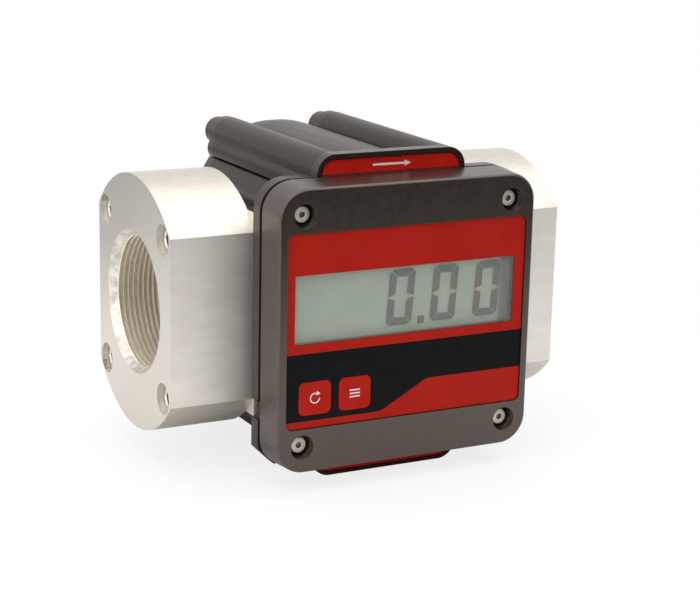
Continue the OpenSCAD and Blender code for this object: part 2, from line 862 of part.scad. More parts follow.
module bezel_shell() {
    corner = head_w / 2 - head_corner_r;
    hull() for (sx = [-1, 1]) for (sz = [-1, 1])
        translate([mid_x + sx * corner, 0, sz * corner]) bezel_corner();
}

module display_bezel() {
    color([0.24, 0.22, 0.21]) difference() {
        union() {
            difference() {
                bezel_shell();
                translate([mid_x, 0, 0]) y_slab(bezel_inside, gasket_front + overrun)
                    round_rect(cavity_w, cavity_w, cavity_corner_r);
            }
            translate([mid_x, 0, 0]) y_slab(bezel_inside - overrun, gasket_front) post_outline();
            at_board_screws() y_rod(board_boss_d, bezel_inside - overrun, board_front);
        }
        translate([mid_x, 0, overlay_z]) y_slab(bezel_front - overrun, overlay_floor)
            round_rect(overlay_w + 2 * inlay_gap, overlay_h + 2 * inlay_gap, overlay_corner_r + inlay_gap);
        translate([mid_x + window_x, 0, window_z]) {
            y_slab(bezel_front - overrun, bezel_inside + overrun)
                square([window_w, window_h], center = true);
            y_slab(overlay_floor - overrun, overlay_floor + pane_t)
                square([window_w + 2 * pane_margin, window_h + 2 * pane_margin], center = true);
        }
        at_bezel_screws() {
            y_rod(bezel_head_recess_d, bezel_front - overrun, bezel_seat);
            y_rod(bezel_screw_d + 2 * screw_gap, bezel_front, gasket_front + overrun);
        }
        at_board_screws() y_rod(board_screw_d, board_rear - board_screw_l, board_front + overrun);
        at_keys() {
            y_slab(overlay_floor - overrun, key_pocket_floor)
                key_outline(key_gap + lip_w, key_corner_r + lip_w);
            y_rod(key_stem_d + 2 * stem_gap, key_pocket_floor - overrun, bezel_inside + overrun);
        }
    }
}

// The outline of a key pad, drawn out by a margin all round
module key_outline(margin, r) {
    round_rect(key_w + 2 * margin, key_h + 2 * margin, r);
}

module bezel_screws() {
    head_front = bezel_seat - bezel_head_h;
    color([0.75, 0.75, 0.75]) at_bezel_screws() difference() {
        union() {
            y_rod(bezel_head_d, head_front, bezel_seat);
            y_rod(bezel_screw_d, bezel_seat, bezel_screw_tip);
        }
        y_socket(bezel_head_d, head_front - overrun, head_front + bezel_head_h * hex_depth_share);
    }
}

module face_overlay() {
    color([0.62, 0.1, 0.08]) difference() {
        translate([mid_x, 0, overlay_z]) y_slab(overlay_front, overlay_floor)
            round_rect(overlay_w, overlay_h, overlay_corner_r);
        translate([mid_x + window_x, 0, window_z]) y_slab(overlay_front - overrun, overlay_floor + overrun)
            square([window_w, window_h], center = true);
        at_keys() y_slab(overlay_front - overrun, overlay_floor + overrun)
            key_outline(key_gap, key_corner_r);
    }
}

module window_pane() {
    margin = pane_margin - inlay_gap;
    color([0.7, 0.75, 0.7, 0.4]) translate([mid_x + window_x, 0, window_z])
        y_slab(overlay_floor, overlay_floor + pane_t)
            square([window_w + 2 * margin, window_h + 2 * margin], center = true);
}

// Electronics

module display_glass() {
    color([0.6, 0.64, 0.57]) translate([mid_x + window_x, 0, window_z]) y_slab(bezel_inside, glass_rear)
        square([glass_w, glass_h], center = true);
}

module display_frame() {
    outer_w = glass_w - 2 * frame_inset;
    outer_h = glass_h - 2 * frame_inset;
    color([0.15, 0.15, 0.15]) translate([mid_x + window_x, 0, window_z])
        y_slab(glass_rear, board_front) difference() {
            square([outer_w, outer_h], center = true);
            square([outer_w - 2 * frame_wall, outer_h - 2 * frame_wall], center = true);
        }
}

module circuit_board() {
    color([0.1, 0.35, 0.2]) difference() {
        translate([mid_x, 0, 0]) y_slab(board_front, board_rear) board_outline(0);
        at_board_screws() y_rod(board_screw_d + screw_gap, board_front - overrun, board_rear + overrun);
    }
}

module board_screws() {
    color([0.7, 0.7, 0.7]) at_board_screws() {
        y_rod(board_screw_d, board_rear - board_screw_l, board_rear);
        y_rod(board_screw_head_d, board_rear, board_rear + board_screw_head_h);
    }
}

module key_switches() {
    well_end = plunger_rear + key_travel + well_end_gap;
    color([0.08, 0.08, 0.08]) at_keys() difference() {
        y_slab(switch_front, board_front) square([switch_w, switch_w], center = true);
        y_rod(plunger_d + 2 * plunger_gap, switch_front - overrun, well_end);
    }
}

// A key pad with the lip that holds it behind the overlay and its stem
module key_pad() {
    y_slab(overlay_front - key_proud, lip_front) key_outline(0, key_corner_r);
    y_slab(lip_front, lip_rear) key_outline(lip_w, key_corner_r + lip_w);
    y_rod(key_stem_d, lip_rear, plunger_front);
}

module plunger() y_rod(plunger_d, plunger_front, plunger_rear);

module reset_key() color([0.75, 0.12, 0.1]) at_key(0) key_pad();

module total_key() color([0.75, 0.12, 0.1]) at_key(1) key_pad();

module reset_plunger() color([0.85, 0.82, 0.7]) at_key(0) plunger();

module total_plunger() color([0.85, 0.82, 0.7]) at_key(1) plunger();

// Copies at the two batteries
module at_batteries() {
    axis_y = holder_floor - battery_d / 2;
    for (s = [-1, 1])
        translate([mid_x + battery_x, axis_y, battery_z + s * battery_pitch / 2]) children();
}

module battery_holder() {
    color([0.1, 0.1, 0.1]) translate([mid_x + battery_x, 0, battery_z]) difference() {
        y_slab(holder_floor - battery_d / 2, board_front)
            square([battery_room + 2 * holder_wall, 2 * battery_pitch + holder_wall], center = true);
        for (s = [-1, 1]) y_slab(holder_floor - battery_d, holder_floor)
            translate([0, s * battery_pitch / 2])
                square([battery_room, battery_pitch - holder_wall], center = true);
    }
}

module batteries() {
    color([0.3, 0.3, 0.32]) at_batteries() {
        x_rod(battery_d, -(battery_l + battery_nub_l) / 2, (battery_l - battery_nub_l) / 2);
        x_rod(battery_nub_d, (battery_l - battery_nub_l) / 2, (battery_l + battery_nub_l) / 2);
    }
}

module pulse_sensor() {
    color([0.12, 0.12, 0.14]) translate([mid_x + sensor_x, 0, axis_z])
        y_rod(sensor_d, board_rear, chamber_front - sensor_wall - sensor_gap);
}

meter_body();
front_cover();
rear_cover();
front_seal();
rear_seal();
tie_bolts();
inlet_flange();
outlet_flange();
inlet_screws();
outlet_screws();
inlet_seal();
outlet_seal();
bearing_plate();
front_bushes();
middle_bushes();
rear_bushes();
upper_rotor();
lower_rotor();
upper_shaft();
lower_shaft();
upper_timing_gear();
lower_timing_gear();
rotor_magnets();
upper_label();
lower_label();
display_gasket();
display_bezel();
bezel_screws();
face_overlay();
window_pane();
display_glass();
display_frame();
circuit_board();
board_screws();
key_switches();
reset_key();
total_key();
reset_plunger();
total_plunger();
battery_holder();
batteries();
pulse_sensor();
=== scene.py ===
"""Looks of the oil flow meter: two bright threaded flanges on a dark extruded housing, with a square
display head in front. Sizes are millimetres until a piece is settled, and metres from then on."""

import math

import bmesh
import bpy
from mathutils import Euler, Matrix, Vector


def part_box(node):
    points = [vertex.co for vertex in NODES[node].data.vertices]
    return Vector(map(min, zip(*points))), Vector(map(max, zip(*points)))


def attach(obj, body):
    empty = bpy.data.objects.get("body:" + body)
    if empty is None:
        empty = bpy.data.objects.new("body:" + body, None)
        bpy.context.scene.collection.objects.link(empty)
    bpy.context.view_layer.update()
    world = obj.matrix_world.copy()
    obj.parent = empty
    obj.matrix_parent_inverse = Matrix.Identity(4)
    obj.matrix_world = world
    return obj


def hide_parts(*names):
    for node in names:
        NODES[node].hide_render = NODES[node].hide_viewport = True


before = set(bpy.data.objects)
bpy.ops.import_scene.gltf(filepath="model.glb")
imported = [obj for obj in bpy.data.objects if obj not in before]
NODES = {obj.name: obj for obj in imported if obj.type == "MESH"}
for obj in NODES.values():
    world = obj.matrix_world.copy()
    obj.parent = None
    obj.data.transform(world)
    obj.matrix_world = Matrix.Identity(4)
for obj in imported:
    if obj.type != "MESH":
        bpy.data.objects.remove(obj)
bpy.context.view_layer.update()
MM = 0.001


def box(node):
    """Lowest and highest corner of a CAD node, in millimetres."""
    low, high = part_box(node)
    return low / MM, high / MM


# Places that come from the frame
LENGTH = box("outlet_flange")[1].x
MID_X = LENGTH / 2
FLANGE_L = box("inlet_flange")[1].x
FLANGE_R = box("inlet_flange")[1].z
FLAT_Y = box("inlet_flange")[1].y
FLOOR_Z = min(box(node)[0].z for node in NODES)
OVERLAY_FRONT = box("face_overlay")[0].y
OVERLAY_BACK = box("face_overlay")[1].y
GLASS_FRONT = box("display_glass")[0].y
KEY_FRONT = box("reset_key")[0].y
LABEL_FRONT = box("upper_label")[0].y

# Printed places on the display head
OVERLAY_W = 110.5
OVERLAY_H = 80.7
OVERLAY_Z = 0.2
OVERLAY_CORNER_R = 2.5
WINDOW_W = 102.3
WINDOW_H = 28.5
WINDOW_X = -0.6
WINDOW_Z = 9.4
# Width of the band of painted shadow at the right end of the display's reflector
SHADE_BAND_W = 7.0

# Camera of the photograph, taken as 700 by 589 pixels
PHOTO_W = 700
CAMERA_AZIMUTH = -27.294
CAMERA_ELEVATION = 13.935
CAMERA_ROLL = 1.237
CAMERA_DISTANCE = 804.727
CAMERA_SIDE = 6.278
CAMERA_RISE = -3.367
CAMERA_FOCUS_PX = 1796.653
CENTRE_SHIFT_PX = (-7.884, -4.826)
SENSOR_W = 36.0


def linear(hex_colour):
    """A colour written as an sRGB hex value, in linear light."""
    parts = [int(hex_colour[i : i + 2], 16) / 255 for i in (1, 3, 5)]
    return (*[c / 12.92 if c <= 0.04045 else ((c + 0.055) / 1.055) ** 2.4 for c in parts], 1.0)


def add(tree, kind, values=None, **settings):
    """Adds a node with its settings. Values map an input's name or number to a value, a node or a
    socket."""
    made = tree.nodes.new(kind)
    for name, value in settings.items():
        setattr(made, name, value)
    for key, value in (values or {}).items():
        source = value.outputs[0] if isinstance(value, bpy.types.Node) else value
        if isinstance(source, bpy.types.NodeSocket):
            tree.links.new(source, made.inputs[key])
        else:
            made.inputs[key].default_value = source
    return made


def coat(mesh, materials):
    """Gives a mesh these materials in place of its own."""
    mesh.materials.clear()
    for each in materials:
        mesh.materials.append(each)


# Finishes

EVEN = (1, 1, 1)
ALONG_X = (24, 1, 1)
ALONG_Y = (1, 40, 1)
NOISE_LOW, NOISE_HIGH = 0.3, 0.7


def finish(name, colour, roughness, metallic=0.0, relief=None, **sockets):
    """A new material. Colour and roughness are plain, or (low, high, patch width, stretch) for soft
    noise in the piece's own coordinates. Relief is the same, with heights. Widths are millimetres."""
    made = bpy.data.materials.new(name)
    made.use_nodes = True
    tree = made.node_tree
    shader = tree.nodes["Principled BSDF"]
    shader.inputs["Metallic"].default_value = metallic
    for key, value in sockets.items():
        shader.inputs[key].default_value = value
    place = add(tree, "ShaderNodeTexCoord").outputs["Object"]
    for goal, wanted in (("Base Color", colour), ("Roughness", roughness), ("Normal", relief)):
        if not isinstance(wanted, tuple):
            if wanted is not None:
                shader.inputs[goal].default_value = linear(wanted) if goal == "Base Color" else wanted
            continue
        low, high, width, stretch = wanted
        scale = [1 / (width * MM * s) for s in stretch]
        mapped = add(tree, "ShaderNodeMapping", {"Vector": place, "Scale": scale})
        noise = add(tree, "ShaderNodeTexNoise", {"Vector": mapped, "Scale": 1.0, "Detail": 3.0})
        span = {"Value": noise, "From Min": NOISE_LOW, "From Max": NOISE_HIGH}
        if goal == "Base Color":
            share = add(tree, "ShaderNodeMapRange", span)
            blend = {0: share, 6: linear(low), 7: linear(high)}
            result = add(tree, "ShaderNodeMix", blend, data_type="RGBA").outputs[2]
        elif goal == "Roughness":
            result = add(tree, "ShaderNodeMapRange", {**span, "To Min": low, "To Max": high}).outputs[0]
        else:
            bumps = {"Height": noise, "Distance": (high - low) * MM}
            result = add(tree, "ShaderNodeBump", bumps).outputs[0]
        tree.links.new(result, shader.inputs[goal])
    return made


def turned_aluminium():
    """Aluminium faced on a lathe: rings round the flow axis, which give bright and dim sectors."""
    made = finish("turned_aluminium", "#cdc7bf", (0.3, 0.35, 6.0, EVEN), 1.0, Anisotropic=0.6)
    tree = made.node_tree
    shader = tree.nodes["Principled BSDF"]
    place = add(tree, "ShaderNodeTexCoord").outputs["Object"]
    around = add(tree, "ShaderNodeVectorMath", {0: (1, 0, 0), 1: place}, operation="CROSS_PRODUCT")
    radius = add(tree, "ShaderNodeVectorMath", {0: around}, operation="LENGTH").outputs["Value"]
    ring_w = 0.6 * MM
    rings = add(tree, "ShaderNodeTexNoise", {"W": radius, "Scale": 1 / ring_w}, noise_dimensions="1D")
    blend = {0: rings, 6: linear("#cac4bb"), 7: linear("#d6d0c7")}
    tone = add(tree, "ShaderNodeMix", blend, data_type="RGBA")
    tree.links.new(around.outputs[0], shader.inputs["Tangent"])
    tree.links.new(tone.outputs[2], shader.inputs["Base Color"])
    return made


def display_back():
    """Reflector of the liquid crystal cell: grey-green and matt, with a painted shadow at its right end.
    """
    made = finish("display_back", ("#839180", "#8d9a88", 14.0, EVEN), 0.6, relief=(0, 0.003, 0.4, EVEN))
    tree = made.node_tree
    shader = tree.nodes["Principled BSDF"]
    tone = shader.inputs["Base Color"].links[0].from_socket
    place = add(tree, "ShaderNodeTexCoord").outputs["Object"]
    across = add(tree, "ShaderNodeSeparateXYZ", {0: place})
    # Painted shadow: the reflector darkens softly towards its right end, as if the window's wall shaded
    # it
    edge = (MID_X + WINDOW_X + WINDOW_W / 2) * MM
    span = {"Value": across, "From Min": edge - SHADE_BAND_W * MM, "From Max": edge - SHADE_BAND_W / 2 * MM}
    share = add(tree, "ShaderNodeMapRange", span, interpolation_type="SMOOTHSTEP")
    blend = {0: share, 6: tone, 7: linear("#4f4744")}
    shaded_end = add(tree, "ShaderNodeMix", blend, data_type="RGBA")
    tree.links.new(shaded_end.outputs[2], shader.inputs["Base Color"])
    return made


# Aluminium bar stock, bright as drawn: long cloudy streaks along the flow axis
DRAWN = finish(
    "drawn_aluminium",
    ("#c6c0b6", "#d8d2c8", 0.5, (12, 1, 1)),
    (0.36, 0.44, 2.0, (8, 1, 1)),
    1.0,
    (0, 0.0015, 0.4, (12, 1, 1)),
)
# Flats cut with a face mill: satin, with very fine streaks and faint clouds
MILLED = finish(
    "milled_aluminium",
    ("#e8e2d9", "#f0ebe3", 6.0, (3, 1, 1)),
    (0.42, 0.5, 4.0, (6, 1, 1)),
    0.75,
    (0, 0.0008, 0.4, ALONG_X),
)
# The broken edges of the flange: smoother, and lighter than the faces beside them as a painted
# highlight, so they show a thin bright line
EDGE_HIGHLIGHT = finish("burnished_aluminium", "#f0ebe3", (0.26, 0.34, 2.0, EVEN), 0.9)
# Top and bottom of the foot, cut smooth: they mirror the dark housing beside them
SMOOTH = finish("smooth_aluminium", ("#cfc9c0", "#dad4cb", 3.0, ALONG_X), (0.12, 0.16, 2.0, EVEN), 1.0)
TURNED = turned_aluminium()
# Tapped aluminium, matt from the cut and lightly oiled: pale flanks, olive in the roots
THREADED = finish(
    "threaded_aluminium",
    ("#e6dfcf", "#f2ecdf", 1.6, EVEN),
    0.38,
    0.8,
    (0, 0.003, 0.5, EVEN),
)
# The chamfer at the mouth: bright, with scuffs from pipes that were screwed in
CHAMFERED = finish(
    "chamfered_aluminium",
    ("#b2aca2", "#e4ded5", 3.2, EVEN),
    (0.3, 0.46, 1.4, EVEN),
    1.0,
    (0, 0.004, 0.9, EVEN),
)
# The brownish tone that the sheen of the dark coats has in warm studio light
WARM = linear("#ffece0")
# Black anodised extrusion: warm black, satin, with die lines that run front to back
HOUSING = finish(
    "black_anodised_extrusion",
    ("#1d1612", "#211915", 5.0, (1, 8, 1)),
    (0.33, 0.38, 3.0, (1, 12, 1)),
    0.0,
    (0, 0.006, 0.7, ALONG_Y),
    **{"Specular IOR Level": 0.34, "Specular Tint": WARM},
)
# Black coating on the machined covers: a little glossier than the extrusion
COVER = finish(
    "black_coated_plate",
    ("#1d1513", "#261c19", 4.0, EVEN),
    (0.28, 0.36, 2.5, EVEN),
    0.0,
    (0, 0.004, 0.5, EVEN),
    **{"Specular Tint": WARM},
)
# Warm dark grey moulded polyamide with a fine spark grain: a wide soft sheen where it faces the light
BEZEL = finish(
    "grained_polyamide",
    ("#171110", "#1b1412", 7.0, EVEN),
    (0.27, 0.33, 3.0, EVEN),
    0.0,
    (0, 0.0015, 0.5, EVEN),
    **{"IOR": 1.55, "Specular IOR Level": 1.0, "Specular Tint": WARM},
)
# Polyester film printed red on its back: matt, very slightly wavy
RED = finish("red_printed_film", ("#9c180c", "#a41b0f", 16.0, EVEN), 0.44, 0.0, (0, 0.003, 0.6, EVEN))
# The labels in the lobes: a lighter red than the film, under a glossier varnish
LABEL = finish("red_label_film", ("#b01910", "#b92016", 9.0, EVEN), 0.34, 0.0, (0, 0.003, 0.6, EVEN))
# The band of the overlay, printed blue-black
BLACK = finish(
    "black_printed_film",
    ("#08090b", "#0d0f12", 3.0, (4, 1, 1)),
    0.4,
    0.0,
    (0, 0.003, 0.5, (6, 1, 1)),
)
# Red film over the keys, polished a little by fingers
KEY = finish("key_film", ("#9e180d", "#a61c10", 6.0, EVEN), 0.36, 0.0, (0, 0.003, 0.8, EVEN))
FILM_SHEEN = 0.09
for film in (RED, LABEL, BLACK, KEY):
    film.node_tree.nodes["Principled BSDF"].inputs["Specular IOR Level"].default_value = FILM_SHEEN
# Off-white ink, a little uneven
PRINT = finish("pale_ink", ("#d2c3bc", "#e2d7d1", 2.0, EVEN), 0.5)
DISPLAY = display_back()
# Switched-on liquid crystal: dark warm grey, never black
SEGMENTS = finish("dark_liquid_crystal", ("#34312f", "#3e3b39", 1.2, EVEN), 0.6)
# The clear window: almost nothing but a soft sheen
WINDOW = finish("clear_window", "#e8ede4", 0.3, 0.0, (0, 0.02, 30.0, EVEN), Alpha=0.08)
# Zinc plated steel: pale, faintly warm, softly blurred
ZINC = finish("zinc_plated_steel", ("#c5c0b6", "#d6d2c9", 2.5, EVEN), (0.3, 0.4, 1.2, EVEN), 1.0)
# Small bright screws of the head: matt and pale, with painted shade inside the socket
PALE_ZINC = finish("matt_zinc", ("#d2cdbf", "#dedacd", 1.5, EVEN), 0.5, 0.6)
# Painted shade: a darker metal for the insides of the hexagon sockets
SOCKET_SHADE = finish("dull_socket", ("#6a645b", "#80796e", 0.8, EVEN), 0.4, 0.8)
# Black nitrile rubber with a dusty bloom
RUBBER = finish("nitrile_rubber", ("#100f0e", "#1a1817", 3.0, EVEN), 0.7, 0.0, (0, 0.01, 0.5, EVEN))
# Aluminium of the inner pieces, with fine cutter marks
INNER_ALUMINIUM = finish("cut_aluminium", "#b9b9bb", (0.28, 0.42, 0.8, (1, 20, 1)), 1.0)
# Sintered bronze of the bushes: grainy and slightly dark
BRONZE = finish("sintered_bronze", ("#9b7646", "#bd9864", 0.6, EVEN), 0.4, 1.0)
# Ground steel of the shafts and gears: bright, with a fine grind
STEEL = finish("ground_steel", "#b5b6b8", (0.2, 0.34, 0.5, (1, 0.3, 1)), 1.0)
# Black nylon of the small inner pieces: dull and faintly grained
PLASTIC = finish("black_nylon", ("#18181a", "#1f1f20", 2.0, EVEN), 0.5, 0.0, (0, 0.008, 0.4, EVEN))
# Green solder resist over a fibreglass weave
BOARD = finish("green_solder_resist", ("#1b5230", "#246339", 1.0, EVEN), 0.4)
# Plain dark shrink film on the cells
JACKET = finish("dark_shrink_film", "#2c2d33", (0.3, 0.42, 4.0, EVEN))

NODE_FINISH = {
    HOUSING: ["meter_body"],
    COVER: ["front_cover", "rear_cover"],
    MILLED: ["inlet_flange", "outlet_flange"],
    ZINC: ["tie_bolts", "inlet_screws", "outlet_screws", "bezel_screws", "board_screws"],
    RUBBER: ["front_seal", "rear_seal", "inlet_seal", "outlet_seal", "display_gasket"],
    INNER_ALUMINIUM: ["bearing_plate", "upper_rotor", "lower_rotor"],
    BRONZE: ["front_bushes", "middle_bushes", "rear_bushes"],
    STEEL: ["upper_shaft", "lower_shaft", "upper_timing_gear", "lower_timing_gear", "rotor_magnets"],
    RED: ["face_overlay"],
    LABEL: ["upper_label", "lower_label"],
    BEZEL: ["display_bezel"],
    KEY: ["reset_key", "total_key"],
    WINDOW: ["window_pane"],
    DISPLAY: ["display_glass"],
    PLASTIC: [
        "display_frame",
        "key_switches",
        "battery_holder",
        "pulse_sensor",
        "reset_plunger",
        "total_plunger",
    ],
    BOARD: ["circuit_board"],
    JACKET: ["batteries"],
}
for material, names in NODE_FINISH.items():
    for node_name in names:
        coat(NODES[node_name].data, [material])


# Shapes

# Distance under which points of a CAD mesh are one, and bend under which its faces are one
WELD = 0.002
FLAT_BEND = math.radians(0.4)


def piece_of(name, points, faces):
    """A new object from points in millimetres."""
    mesh = bpy.data.meshes.new(name)
    mesh.from_pydata([tuple(p) for p in points], [], faces)
    made = bpy.data.objects.new(name, mesh)
    bpy.context.scene.collection.objects.link(made)
    return made


def lofted(name, rings, place=Matrix.Identity(4)):
    """A closed form through rings of equally many points, each end closed to its middle."""
    count = len(rings[0])
    points = [Vector(p) for ring in rings for p in ring]
    faces = [
        (r * count + i, r * count + j, (r + 1) * count + j, (r + 1) * count + i)
        for r in range(len(rings) - 1)
        for i, j in zip(range(count), [*range(1, count), 0])
    ]
    for ring, turn in ((0, -1), (len(rings) - 1, 1)):
        faces.append([ring * count + i for i in range(count)][::turn])
    made = piece_of(name, [place @ p for p in points], faces)
    outward(made)
    return made


def outward(piece):
    """Points every face of a closed mesh outward."""
    work = bmesh.new()
    work.from_mesh(piece.data)
    bmesh.ops.recalc_face_normals(work, faces=work.faces)
    work.to_mesh(piece.data)
    work.free()


def slab(name, outline, y0, y1):
    """An outline in X and Z made solid from y0 to y1."""
    return lofted(name, [[(x, y, z) for x, z in outline] for y in (y0, y1)])


def rod(name, axis_point, direction, radius, length, steps):
    """A cylinder that starts at a point and runs along a direction."""
    turn = Vector((0, 0, 1)).rotation_difference(Vector(direction)).to_matrix().to_4x4()
    rings = [
        [(radius * math.cos(a), radius * math.sin(a), z) for a in angles(steps)] for z in (0, length)
    ]
    return lofted(name, rings, Matrix.Translation(axis_point) @ turn)


def angles(steps, start=0.0, sweep=math.tau):
    """Equal steps round a circle."""
    return [start + sweep * i / steps for i in range(steps)]


def round_rect(width, height, radius, x=0.0, z=0.0, steps=8):
    """A rectangle with round corners, as an outline in X and Z."""
    outline = []
    for corner, (sx, sz) in enumerate(((1, 1), (-1, 1), (-1, -1), (1, -1))):
        for i in range(steps + 1):
            a = math.pi / 2 * (corner + i / steps)
            outline.append(
                (
                    x + sx * (width / 2 - radius) + radius * math.cos(a),
                    z + sz * (height / 2 - radius) + radius * math.sin(a),
                )
            )
    return outline


def modify(piece, kind, **settings):
    """Adds a modifier with its settings."""
    made = piece.modifiers.new(kind.lower(), kind)
    for name, value in settings.items():
        setattr(made, name, value)
    return made


def bake_down(piece):
    """Turns a piece with its modifiers into a plain mesh."""
    evaluated = piece.evaluated_get(bpy.context.evaluated_depsgraph_get())
    mesh = bpy.data.meshes.new_from_object(evaluated)
    piece.modifiers.clear()
    piece.data = mesh
    mesh.name = piece.name
    return piece


def combine(piece, operation, *others):
    """Joins, cuts or crosses a piece with others, which are used up."""
    for other in others:
        modify(piece, "BOOLEAN", operation=operation, solver="EXACT", object=other)
        bake_down(piece)
        bpy.data.objects.remove(other)
    return piece


def join(piece, other):
    """Adds another piece's mesh to a piece and uses the other up."""
    work = bmesh.new()
    work.from_mesh(piece.data)
    work.from_mesh(other.data)
    work.to_mesh(piece.data)
    work.free()
    bpy.data.objects.remove(other)


def cad_copy(node, name):
    """A copy of a CAD node's mesh in millimetres, merged and with its flat faces made whole."""
    mesh = NODES[node].data.copy()
    mesh.transform(Matrix.Scale(1 / MM, 4))
    work = bmesh.new()
    work.from_mesh(mesh)
    bmesh.ops.remove_doubles(work, verts=work.verts, dist=WELD)
    bmesh.ops.dissolve_limit(work, angle_limit=FLAT_BEND, verts=work.verts, edges=work.edges)
    work.to_mesh(mesh)
    work.free()
    made = bpy.data.objects.new(name, mesh)
    bpy.context.scene.collection.objects.link(made)
    return made


def soften(piece, width, steps=2, angle=32):
    """Rounds the edges of a piece by a small radius."""
    modify(
        piece,
        "BEVEL",
        width=width,
        segments=steps,
        limit_method="ANGLE",
        angle_limit=math.radians(angle),
        use_clamp_overlap=True,
        miter_outer="MITER_ARC",
    )
    return bake_down(piece)


def settle(piece, body, slot, materials, *nodes, sharp=40):
    """Shades a piece, brings it to metres and hands it to the frame. Materials is one, or a list."""
    mesh = piece.data
    listed = materials if isinstance(materials, list) else [materials]
    if len(listed) != len(mesh.materials):
        coat(mesh, listed)
    mesh.shade_smooth()
    mesh.set_sharp_from_angle(angle=math.radians(sharp))
    modify(piece, "WEIGHTED_NORMAL", keep_sharp=True, weight=80)
    bake_down(piece)
    piece.data.transform(Matrix.Scale(MM, 4))
    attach(piece, body)
    if nodes:
        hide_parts(*nodes)
    return piece


# Geometry Nodes

# Shares of the pitch, from the middle of a groove, where its root ends and its crest begins
ROOT_END = 0.05
CREST_START = 0.46
# Where the groove starts and is full, in millimetres past the end of the cone
GROOVE_FADE = (-0.3, 0.4)
END_SLACK = 0.01
GRID_WELD = 0.005


def group(name, sockets):
    """A new node group with named inputs and one mesh out. Returns the tree, its inputs and its
    output."""
    tree = bpy.data.node_groups.new(name, "GeometryNodeTree")
    for label, kind in sockets.items():
        tree.interface.new_socket(label, in_out="INPUT", socket_type=kind)
    tree.interface.new_socket("Geometry", in_out="OUTPUT", socket_type="NodeSocketGeometry")
    inputs = tree.nodes.new("NodeGroupInput").outputs
    return tree, inputs, tree.nodes.new("NodeGroupOutput").inputs[0]


def grown(name, tree, values):
    """A new piece whose mesh a node group makes from the named values."""
    made = piece_of(name, [], [])
    use = made.modifiers.new("grown", "NODES")
    use.node_group = tree
    for item in tree.interface.items_tree:
        if item.in_out == "INPUT":
            use[item.identifier] = values[item.name]
    return bake_down(made)


